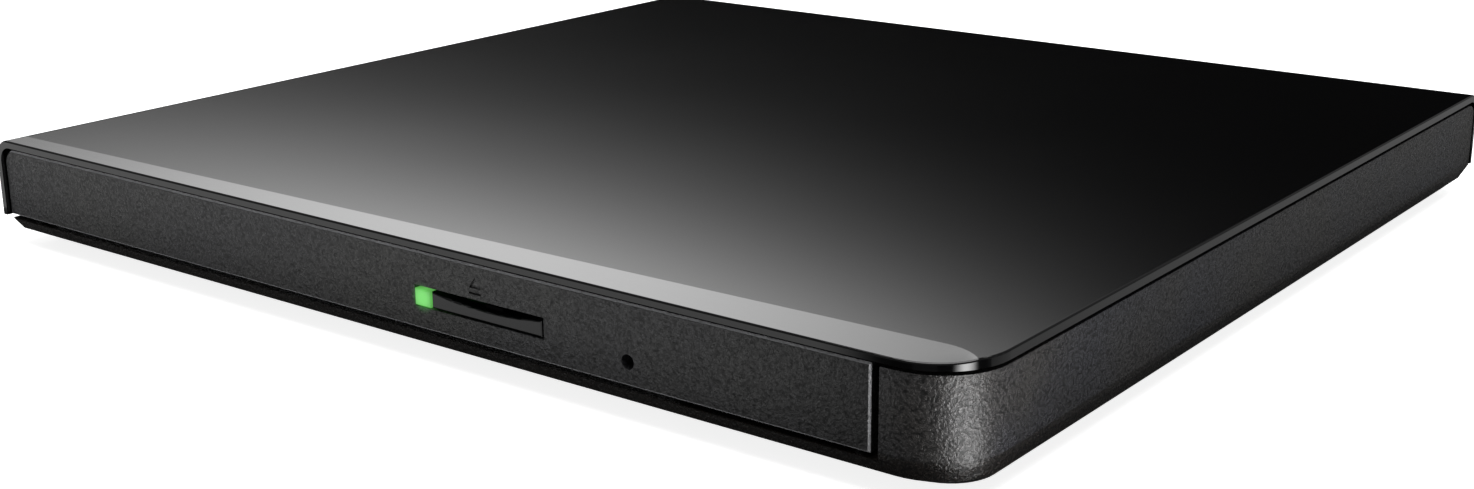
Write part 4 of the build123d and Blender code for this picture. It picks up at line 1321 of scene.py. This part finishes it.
def ribbon(line: list[tuple[float, float]], x: tuple[float, float], thick: float) -> bpy.types.Mesh:
    """A flat strip that follows a line in the YZ plane.

    Args:
        line: Its y and z, point by point.
        x: Where its two edges are.
        thick: Its thickness.

    Returns:
        A closed mesh.
    """
    corners = []
    for i, (y, z) in enumerate(line):
        before, after = line[max(i - 1, 0)], line[min(i + 1, len(line) - 1)]
        way = Vector((after[0] - before[0], after[1] - before[1])).normalized() * (thick / 2)
        for sx, side in ((x[0], 1), (x[1], 1), (x[1], -1), (x[0], -1)):
            corners.append((sx, y - way.y * side, z + way.x * side))
    faces = []
    for i in range(len(line) - 1):
        for k in range(4):
            a, b = i * 4 + k, i * 4 + (k + 1) % 4
            faces.append((a, b, b + 4, a + 4))
    last = (len(line) - 1) * 4
    faces += [(3, 2, 1, 0), (last, last + 1, last + 2, last + 3)]
    mesh = bpy.data.meshes.new("ribbon")
    mesh.from_pydata(corners, [], faces)
    mesh.validate()
    return point_out(mesh)


def tube(start: Vector, end: Vector, radius: float, sides: int = 8) -> bpy.types.Mesh:
    """A straight round wire between two points.

    Args:
        start: One end.
        end: The other end.
        radius: Its radius.
        sides: Its facets.

    Returns:
        A closed mesh.
    """
    turn = (end - start).to_track_quat("Z", "Y").to_matrix()
    corners = []
    for share in (0.0, 0.25, 0.5, 0.75, 1.0):
        for k in range(sides):
            angle = 2 * math.pi * k / sides
            rim = turn @ Vector((radius * math.cos(angle), radius * math.sin(angle), 0.0))
            corners.append(start.lerp(end, share) + rim)
    faces = [
        (r * sides + k, r * sides + (k + 1) % sides, (r + 1) * sides + (k + 1) % sides, (r + 1) * sides + k)
        for r in range(4)
        for k in range(sides)
    ]
    faces += [tuple(reversed(range(sides))), tuple(range(4 * sides, 5 * sides))]
    mesh = bpy.data.meshes.new("tube")
    mesh.from_pydata(corners, [], faces)
    return point_out(mesh)


def point_out(mesh: bpy.types.Mesh) -> bpy.types.Mesh:
    """Turn a closed mesh's faces outwards.

    Args:
        mesh: The mesh.

    Returns:
        The same mesh.
    """
    shape = bmesh.new()
    shape.from_mesh(mesh)
    bmesh.ops.recalc_face_normals(shape, faces=shape.faces)
    shape.to_mesh(mesh)
    shape.free()
    return mesh


# ---------------------------------------------------------------- sub-assemblies
@dataclass
class DeckFrame:
    """The tray's diagonal frame: along runs from the hub towards the front left, across to its side."""

    along: Vector = field(default_factory=lambda: Vector((-1.0, -1.0, 0.0)).normalized())
    across: Vector = field(default_factory=lambda: Vector((1.0, -1.0, 0.0)).normalized())

    def at(self, along: float, across: float, z: float) -> Vector:
        """A point given in this frame."""
        hub = centre("spindle_rotor")
        return Vector((hub.x, hub.y, 0.0)) + self.along * along + self.across * across + Vector((0.0, 0.0, z))


@dataclass
class Crosses:
    """Painted shade of the recesses in the screw heads, as thin near-black crosses."""

    tree: CrossTree
    long: float = 0.0019
    wide: float = 0.00036
    thick: float = 0.00003
    seed: int = 4

    def cut(self, node: str, body: str, below: bool, share: float = 1.0) -> None:
        """Mark the heads of a node's screws.

        Args:
            node: The node that holds the screws.
            body: The body that carries them.
            below: Whether the heads face down.
            share: Size against a case screw's recess.
        """
        host = bpy.data.meshes.new(node + "_heads")
        spots = [
            ((low.x + high.x) / 2, (low.y + high.y) / 2, low.z if below else high.z)
            for low, high in islands(node)
        ]
        host.from_pydata(spots, [], [])
        sizes = {"Long": self.long * share, "Wide": self.wide * share, "Thick": self.thick, "Seed": self.seed}
        settle(self.tree.grow(node + "_recesses", Stock.recess, sizes, host), body, "screw")


@dataclass
class Casing:
    """The shell: top cover, lower case, feet, rating label and screws."""

    crosses: Crosses

    def build(self) -> None:
        """Dress the shell."""
        dress(Stock.plate, "top_cover")
        dress(Stock.case, "bottom_case")
        dress(Stock.rubber, "rubber_feet")
        low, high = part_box("rating_label")
        label = BlankLabel("silver_label", (0.5, 0.5, 0.5), 0.38, 0.5, low=tuple(low), high=tuple(high))
        dress(label, "rating_label")
        dress(Stock.screw, "case_screws", "drive_screws")
        dress(Stock.foam, "foam_pads")
        for node in ("case_screws", "drive_screws"):
            self.crosses.cut(node, "housing", True)


@dataclass
class TrayFront:
    """The front panel with its button and light."""

    def build(self) -> None:
        """Dress the front."""
        middle = centre("led_lens")
        lamp = (middle.x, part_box("led_lens")[0].y, middle.z)
        dress(LitWindow("green_window", (0.05, 0.25, 0.06), 0.25, middle=lamp), "led_lens")
        dress(Stock.resin, "status_led")
        low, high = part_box("tray_bezel")
        button = centre("eject_button")
        front = EdgedPlastic(
            "pebbled_front",
            (0.012, 0.012, 0.013),
            0.31,
            grain=0.0003,
            depth=0.00014,
            warm=(0.013, 0.013, 0.0125),
            low=tuple(low),
            high=tuple(high),
            lamp=lamp,
            mark=(button.x - 0.0013, low.y, button.z + 0.0026),
        )
        dress(front, "tray_bezel")
        dress(Stock.bar, "eject_button")


@dataclass
class Chassis:
    """The mechanism's metal housing, its channels and the telescoping rails."""

    crosses: Crosses

    def build(self) -> None:
        """Dress the housing and the rails."""
        dress(Stock.sheet, "chassis_pan", "chassis_lid")
        dress(Stock.screw, "lid_screws")
        dress(Stock.steel, "latch_post")
        dress(Stock.ivory, "guide_left", "guide_right")
        dress(Stock.rail, "rail_left", "rail_right")
        self.crosses.cut("lid_screws", "housing", False, 0.75)


@dataclass
class DiscTray:
    """The moulded tray, its base plate and the parts fixed in it."""

    crosses: Crosses
    spirals: SpiralTree
    spring_radius: float = 0.00118
    spring_wire: float = 0.00014
    spring_pitch: float = 0.00105
    spring_length: float = 0.0113

    def build(self) -> None:
        """Dress the tray and wind the ejector's spring."""
        dress(Stock.tray, "tray")
        dress(Stock.sheet, "tray_base_plate")
        dress(Stock.screw, "tray_screws")
        dress(Stock.cast, "traverse_frame")
        dress(Stock.rubber, "dampers")
        dress(Stock.rail, "deck_plate", "motor_base")
        dress(Stock.steel, "latch_pivot", "solenoid_core")
        dress(Stock.copper, "latch_solenoid")
        dress(Stock.ivory, "ejector_plunger", "emergency_slider", "latch_hook")
        self.crosses.cut("tray_screws", "tray", True, 0.7)
        low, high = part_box("ejector_plunger")
        start = Vector(((low.x + high.x) / 2, low.y - 0.0038, (low.z + high.z) / 2))
        place = Matrix.Translation(start) @ Matrix.Rotation(-math.pi / 2, 4, "X")
        sizes = {
            "Radius": self.spring_radius,
            "Wire": self.spring_wire,
            "Pitch": self.spring_pitch,
            "Length": self.spring_length,
            "Core": 0.0,
        }
        settle(self.spirals.grow("ejector_spring", Stock.steel, sizes, place=place), "tray", "steel")


@dataclass
class SpindleMotor:
    """The disc motor: stator with its coils, rotor, magnet, pad and claws."""

    coils: CoilTree
    teeth: int = 9
    turns: int = 9
    wire: float = 0.00018
    tall: float = 0.0013
    wide: float = 0.0015
    inner: float = 0.005
    pitch: float = 0.00041

    def build(self) -> None:
        """Dress the motor and wind its coils."""
        dress(Stock.core, "stator")
        dress(Stock.steel, "spindle_rotor")
        dress(Stock.magnet, "rotor_magnet")
        dress(Stock.rubber, "turntable_pad")
        dress(Stock.ivory, "hub_claw_1", "hub_claw_2", "hub_claw_3")
        hub, core = centre("spindle_rotor"), centre("stator")
        sizes = {
            "Teeth": self.teeth,
            "Turns": self.turns,
            "Tall": self.tall,
            "Wide": self.wide,
            "Wire": self.wire,
            "Inner": self.inner,
            "Pitch": self.pitch,
        }
        place = Matrix.Translation((hub.x, hub.y, core.z))
        settle(self.coils.grow("stator_coils", Stock.copper, sizes, place=place), "tray", "copper")


@dataclass
class SledDrive:
    """The pickup on its rods, the stepper, the threaded screw and the lens."""

    deck: DeckFrame
    spirals: SpiralTree
    coils: CoilTree
    screw_across: float = 0.0206
    screw_z: float = 0.0059
    thread_start: float = -0.0034
    thread_end: float = 0.0564
    end_start: float = -0.0057
    end_stop: float = 0.0582
    core_radius: float = 0.001
    thread_wire: float = 0.00024
    thread_radius: float = 0.00101
    end_radius: float = 0.0006
    screw_pitch: float = 0.003
    lens_along: float = 0.024
    wire_radius: float = 0.00005

    def build(self) -> None:
        """Dress the drive, cut the thread and hang the lens."""
        dress(Stock.steel, "guide_rod_main", "guide_rod_sub")
        dress(Stock.rail, "stepper_motor")
        dress(Stock.cast, "pickup_body")
        dress(Stock.ivory, "screw_follower")
        dress(Stock.magnet, "actuator_magnets")
        dress(Stock.mould, "lens_holder")
        middle = centre("objective_lens")
        dress(CoatedGlass("coated_lens", (0.05, 0.03, 0.16), 0.05, middle=tuple(middle)), "objective_lens")
        self.thread()
        self.hang()

    def thread(self) -> None:
        """The lead screw: thread and journals."""
        turn = self.deck.along.to_track_quat("Z", "Y").to_matrix().to_4x4()
        start = self.deck.at(self.thread_start, self.screw_across, self.screw_z)
        sizes = {
            "Radius": self.thread_radius,
            "Wire": self.thread_wire,
            "Pitch": self.screw_pitch,
            "Length": self.thread_end - self.thread_start,
            "Core": self.core_radius,
        }
        screw = self.spirals.grow(
            "threaded_screw", Stock.steel, sizes, place=Matrix.Translation(start) @ turn
        )
        shape = bmesh.new()
        shape.from_mesh(screw.data)
        for near, far in ((self.end_start, self.thread_start), (self.thread_end, self.end_stop)):
            near_at = self.deck.at(near, self.screw_across, self.screw_z)
            far_at = self.deck.at(far, self.screw_across, self.screw_z)
            shape.from_mesh(tube(near_at, far_at, self.end_radius, 20))
        shape.to_mesh(screw.data)
        shape.free()
        settle(screw, "lead_screw", "steel", "lead_screw")

    def hang(self) -> None:
        """The lens holder's coil, and the four wires that carry it."""
        low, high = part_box("lens_holder")
        turn = Matrix((self.deck.along, self.deck.across, Vector((0.0, 0.0, 1.0)))).transposed().to_4x4()
        stand = Matrix.Rotation(-math.pi / 2, 4, "Y")
        place = Matrix.Translation(self.deck.at(self.lens_along, 0.0, low.z + 0.0003)) @ turn @ stand
        sizes = {
            "Teeth": 1,
            "Turns": 4,
            "Tall": 0.0065,
            "Wide": 0.0087,
            "Wire": 0.00008,
            "Inner": 0.0,
            "Pitch": 0.00017,
        }
        settle(self.coils.grow("focus_coil", Stock.copper, sizes, place=place), "lens", "copper")
        for number, (side, drop) in enumerate(((-1, 0.0004), (-1, 0.0009), (1, 0.0004), (1, 0.0009))):
            across, z = side * 0.0046, high.z - drop
            fixed = self.deck.at(self.lens_along - 0.0046, across, z)
            held = self.deck.at(self.lens_along, side * 0.0044, z)
            wire = solid(f"lens_wire_{number + 1}", tube(fixed, held, self.wire_radius), Stock.steel)
            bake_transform(wire)


@dataclass
class FlatCable:
    """The flat cable that rolls under the tray, in a fixed run, a fold and a moving run."""

    fold_y: float = -0.0365
    join_y: float = 0.028
    bend: float = 0.0013
    thick: float = 0.00015
    inset: float = 0.0001
    gap: float = 0.00002

    def build(self) -> None:
        """Lay the three runs, and tie the fold and the moving run to what carries them."""
        low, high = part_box("tray_flex")
        x = (low.x, high.x)
        film = PrintedFilm("amber_film", (0.32, 0.17, 0.05), 0.35, start=low.x)
        z_low = low.z + self.thick / 2
        z_high = z_low + 2 * self.bend
        far = high.y - self.inset
        end = self.fold_y + self.gap
        lower = [(far + (end - far) * i / 40, z_low) for i in range(41)]
        fold = [
            (self.fold_y - self.bend * math.sin(a), z_low + self.bend * (1 - math.cos(a)))
            for a in (math.pi * i / 16 for i in range(17))
        ]
        upper = [(end + (self.join_y - end) * i / 30, z_high) for i in range(31)]
        fixed = solid("flat_cable_fixed_run", ribbon(lower, x, self.thick), film)
        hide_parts("tray_flex")
        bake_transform(fixed)
        rolled = solid("flat_cable_fold", ribbon(fold, x, self.thick), film)
        settle(rolled, "rail_right", "flex")
        moving = solid("flat_cable_moving_run", ribbon(upper, x, self.thick), film)
        settle(moving, "tray", "flex")
        travel = next(max(joint["range_m"]) for joint in frame["joints"] if joint["name"] == "tray_slide")
        kept = 1.0 - travel / 2 / (self.join_y - self.fold_y)
        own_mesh(moving)
        log.info("%s bends between its two bodies", fixed.name)


@dataclass
class Electronics:
    """The boards, their chips and small parts, and the sockets."""

    scatter: ScatterTree
    fringe: FringeTree
    rows: RowTree
    part_length: float = 0.001
    part_gap: float = 0.0013
    density: float = 600000.0
    lead: Triple = (0.0002, 0.0006, 0.00012)
    lead_pitch: float = 0.0005
    contacts: int = 5
    contact_pitch: float = 0.0008

    def build(self) -> None:
        """Dress the boards, then fill them."""
        dress(Stock.board, "main_board", "front_board", "connector_board", "bridge_board")
        dress(Stock.chip, "board_chips", "bridge_chips", "eject_switch")
        dress(Stock.mould, "sata_plug", "sata_receptacle", "usb_tongue")
        dress(Stock.sheet, "usb_socket")
        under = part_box("main_board")[0].z
        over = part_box("bridge_board")[1].z
        tray_areas = [
            (0.039, -0.032, 0.0438, 0.014),
            (0.031, -0.006, 0.0375, 0.0135),
            (-0.007, 0.040, 0.007, 0.053),
            (0.0205, 0.031, 0.0268, 0.0415),
        ]
        low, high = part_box("bridge_board")
        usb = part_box("usb_socket")[0]
        chips = islands("bridge_chips")
        top = max(box[1].y for box in chips)
        bridge_areas = [
            (chips[0][0].x - 0.001, top + 0.0014, high.x - 0.0008, usb.y - 0.0014),
            (high.x - 0.009, low.y + 0.0008, high.x - 0.0008, min(box[0].y for box in chips) - 0.0012),
        ]
        self.fill("main_board_parts", tray_areas, under, -1.0, "tray", 3)
        self.fill("bridge_board_parts", bridge_areas, over, 1.0, "housing", 8)
        self.leads("main_chip_leads", "board_chips", under - self.lead[2] / 2, "tray")
        self.leads("bridge_chip_leads", "bridge_chips", over + self.lead[2] / 2, "housing")
        low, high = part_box("usb_tongue")
        first = (low.x + high.x) / 2 - self.contact_pitch * (self.contacts - 1) / 2
        sizes = {
            "Count": self.contacts,
            "Start": (first, (low.y + high.y) / 2, low.z),
            "Offset": (self.contact_pitch, 0.0, 0.0),
            "Bar": (0.00038, 0.0052, 0.0001),
        }
        settle(self.rows.grow("usb_contacts", Stock.gold, sizes), "housing", "copper")

    def fill(self, name: str, areas: list, z: float, lift: float, body: str, seed: int) -> None:
        """Strew small parts.

        Args:
            name: Name of the piece.
            areas: Free rectangles of the board.
            z: The board's face.
            lift: 1 above the face, -1 below it.
            body: The body that carries the board.
            seed: Which arrangement.
        """
        sizes = {
            "Gap": self.part_gap,
            "Density": self.density,
            "Long": self.part_length,
            "Lift": lift,
            "Seed": seed,
        }
        settle(self.scatter.grow(name, Stock.parts, sizes, flat_patches(areas, z)), body, "chip")

    def leads(self, name: str, chips: str, z: float, body: str) -> None:
        """Put leads along the sides of a board's chips.

        Args:
            name: Name of the piece.
            chips: Node of the chips.
            z: Height of the leads.
            body: The body that carries them.
        """
        host = box_sides(islands(chips), self.lead[1] / 2 - 0.0001, 0.0006, z)
        sizes = {"Pitch": self.lead_pitch, "Lead": self.lead}
        settle(self.fringe.grow(name, Stock.rail, sizes, host), body, "steel")


# ---------------------------------------------------------------- studio
@dataclass
class Studio:
    """Camera, pale floor, soft lamps and the surroundings that the glossy top mirrors."""

    eye: Triple = (0.1505, -0.2031, 0.0722)
    yaw: float = math.radians(37.46)
    pitch: float = math.radians(16.81)
    roll: float = math.radians(-0.37)
    lens: float = 47.39
    base: float = 0.25
    wall_light: float = 4.98
    floor_tone: Colour = (0.7, 0.7, 0.7)
    floor_lift: float = 0.85
    table_tone: Colour = (0.22, 0.22, 0.22)
    card_tone: Colour = (0.02, 0.02, 0.02)
    cards: tuple = (
        (
            "front_card",
            ((-0.22, -0.078), (0.0645, -0.078), (0.0645, -0.2), (-0.22, -0.2)),
            1.12,
            (0.0645, -0.0688),
            (-95.0, -93.0, -45.0, -34.0),
        ),
        (
            "corner_card",
            ((0.0715, -0.0775), (0.12, -0.14), (0.16, -0.11), (0.165, -0.045), (0.0795, -0.0585)),
            15.0,
            (0.0645, -0.06125),
            (50.0, 68.0, 69.0, 86.0),
        ),
        (
            "side_card",
            ((0.0795, -0.06), (0.108, -0.05), (0.108, 0.16), (0.0795, 0.16)),
            0.36,
            (0.0645, -0.06125),
            (90.0, 110.0, 181.0, 182.0),
        ),
    )
    key_power: float = 30.0
    wall_rise: Triple = (0.7076, 0.1633, 19.4355)
    wall_sides: tuple = ((31.95, 5.76), (55.98, 4.81))
    wall_dim: float = 0.006
    sector: tuple = ((2.0, 10.0), (84.0, 70.0), (46.0, 34.0))

    def build(self) -> None:
        """Set up everything round the object."""
        bpy.context.scene.view_settings.view_transform = "Standard"
        self.camera()
        self.floor()
        self.sky()
        self.lamp("key_softbox", (0.1, 0.1, 1.5), (0.0, 0.0, 0.0), (1.5, 1.5), self.key_power)

    def camera(self) -> None:
        """The camera."""
        forward = Vector(
            (
                -math.sin(self.yaw) * math.cos(self.pitch),
                math.cos(self.yaw) * math.cos(self.pitch),
                -math.sin(self.pitch),
            )
        )
        right = Vector((math.cos(self.yaw), math.sin(self.yaw), 0.0))
        up = right.cross(forward)
        rolled = right * math.cos(self.roll) + up * math.sin(self.roll)
        upright = up * math.cos(self.roll) - right * math.sin(self.roll)
        data = bpy.data.cameras.new("camera")
        data.lens = self.lens
        data.sensor_width = 36.0
        data.sensor_fit = "HORIZONTAL"
        data.clip_start = 0.005
        made = bpy.data.objects.new("camera", data)
        turn = Matrix((rolled, upright, -forward)).transposed().to_4x4()
        made.matrix_world = Matrix.Translation(self.eye) @ turn
        bpy.context.scene.collection.objects.link(made)
        bpy.context.scene.camera = made

    def floor(self) -> None:
        """A pale floor, and the darker table and cards that only the object's gloss sees."""
        wide = ((-4.0, -4.0), (4.0, -4.0), (4.0, 4.0), (-4.0, 4.0))
        paper = CardPaper("floor_paper", self.floor_tone, 0.95, ior=1.2, light=self.floor_lift)
        shown = self.card("floor", wide, 0.0, paper)
        shown.visible_diffuse = shown.visible_glossy = False
        table = CardPaper("table_paper", self.table_tone, 0.95, ior=1.2)
        hidden = [self.card("table", wide, -0.0004, table)]
        for name, outline, light, pivot, fan in self.cards:
            paper = CardPaper(
                name + "_paper", self.card_tone, 0.95, ior=1.2, light=light, pivot=pivot, fan=fan
            )
            hidden.append(self.card(name, outline, 0.0001 * (len(hidden) + 1), paper))
        for card in hidden:
            card.visible_camera = card.visible_shadow = False

    def card(self, name: str, outline: tuple, z: float, paper: CardPaper) -> bpy.types.Object:
        """A level card of the set.

        Args:
            name: Its name.
            outline: Its corners.
            z: Its height.
            paper: Its finish.

        Returns:
            The card.
        """
        mesh = bpy.data.meshes.new(name)
        mesh.from_pydata([(x, y, z) for x, y in outline], [], [list(range(len(outline)))])
        made = solid(name, mesh, paper)
        return made

    def sky(self) -> None:
        """An even dim room, with a bright soft wall behind the object that fades to its right."""
        world = bpy.data.worlds.new("room")
        world.use_nodes = True
        bpy.context.scene.world = world
        bench = Bench(world.node_tree)
        x, y, z = bench.axes(bench.node("ShaderNodeTexCoord").outputs["Generated"])
        tall = bench.maths("ARCSINE", z) * math.degrees(1)
        side = bench.maths("ARCTAN2", -x, y) * math.degrees(1)
        upward, sideways, foot = self.wall_rise
        rise = self.bank(tall * upward + side * sideways - foot)
        (left, left_blur), (right, right_blur) = self.wall_sides
        wide = self.bank((side - left) / left_blur)
        wall = rise * wide * self.bank((right - side) / right_blur) * self.wall_light
        start, end, top = self.sector
        sector = side.step(*start) * side.step(*end) * tall.step(*top)
        light = (wall + self.wall_dim) * sector + (1.0 - sector) * self.base
        shade = bench.node("ShaderNodeBackground", {}, {"Strength": light})
        bench.node("ShaderNodeOutputWorld", {}, {0: shade.outputs[0]})

    def bank(self, value: Wire) -> Wire:
        """A bank of light that rises softly from 0 to 1 as a value passes 0."""
        return 1.0 / (1.0 + value.bench.maths("EXPONENT", -value))

    def lamp(self, name: str, at: Triple, aim: Triple, size: tuple[float, float], power: float) -> None:
        """An area lamp.

        Args:
            name: Its name.
            at: Where it stands.
            aim: The point that it faces.
            size: Its width and height.
            power: Its power in watts.
        """
        data = bpy.data.lights.new(name, "AREA")
        data.shape = "RECTANGLE"
        data.size, data.size_y = size
        data.energy = power
        made = bpy.data.objects.new(name, data)
        made.matrix_world = (
            Matrix.Translation(at) @ (Vector(aim) - Vector(at)).to_track_quat("-Z", "Y").to_matrix().to_4x4()
        )
        bpy.context.scene.collection.objects.link(made)


def main() -> None:
    """Build and dress every sub-assembly, then the studio."""
    logging.basicConfig(level=logging.INFO, format="%(name)s: %(message)s")
    crosses = Crosses(CrossTree())
    spirals, coils = SpiralTree(), CoilTree()
    assemblies = [
        Casing(crosses),
        TrayFront(),
        Chassis(crosses),
        DiscTray(crosses, spirals),
        SpindleMotor(coils),
        SledDrive(DeckFrame(), spirals, coils),
        FlatCable(),
        Electronics(ScatterTree(), FringeTree(), RowTree()),
        Studio(),
    ]
    for assembly in assemblies:
        assembly.build()
        log.info("%s done", type(assembly).__name__)


if __name__ == "__main__":
    main()
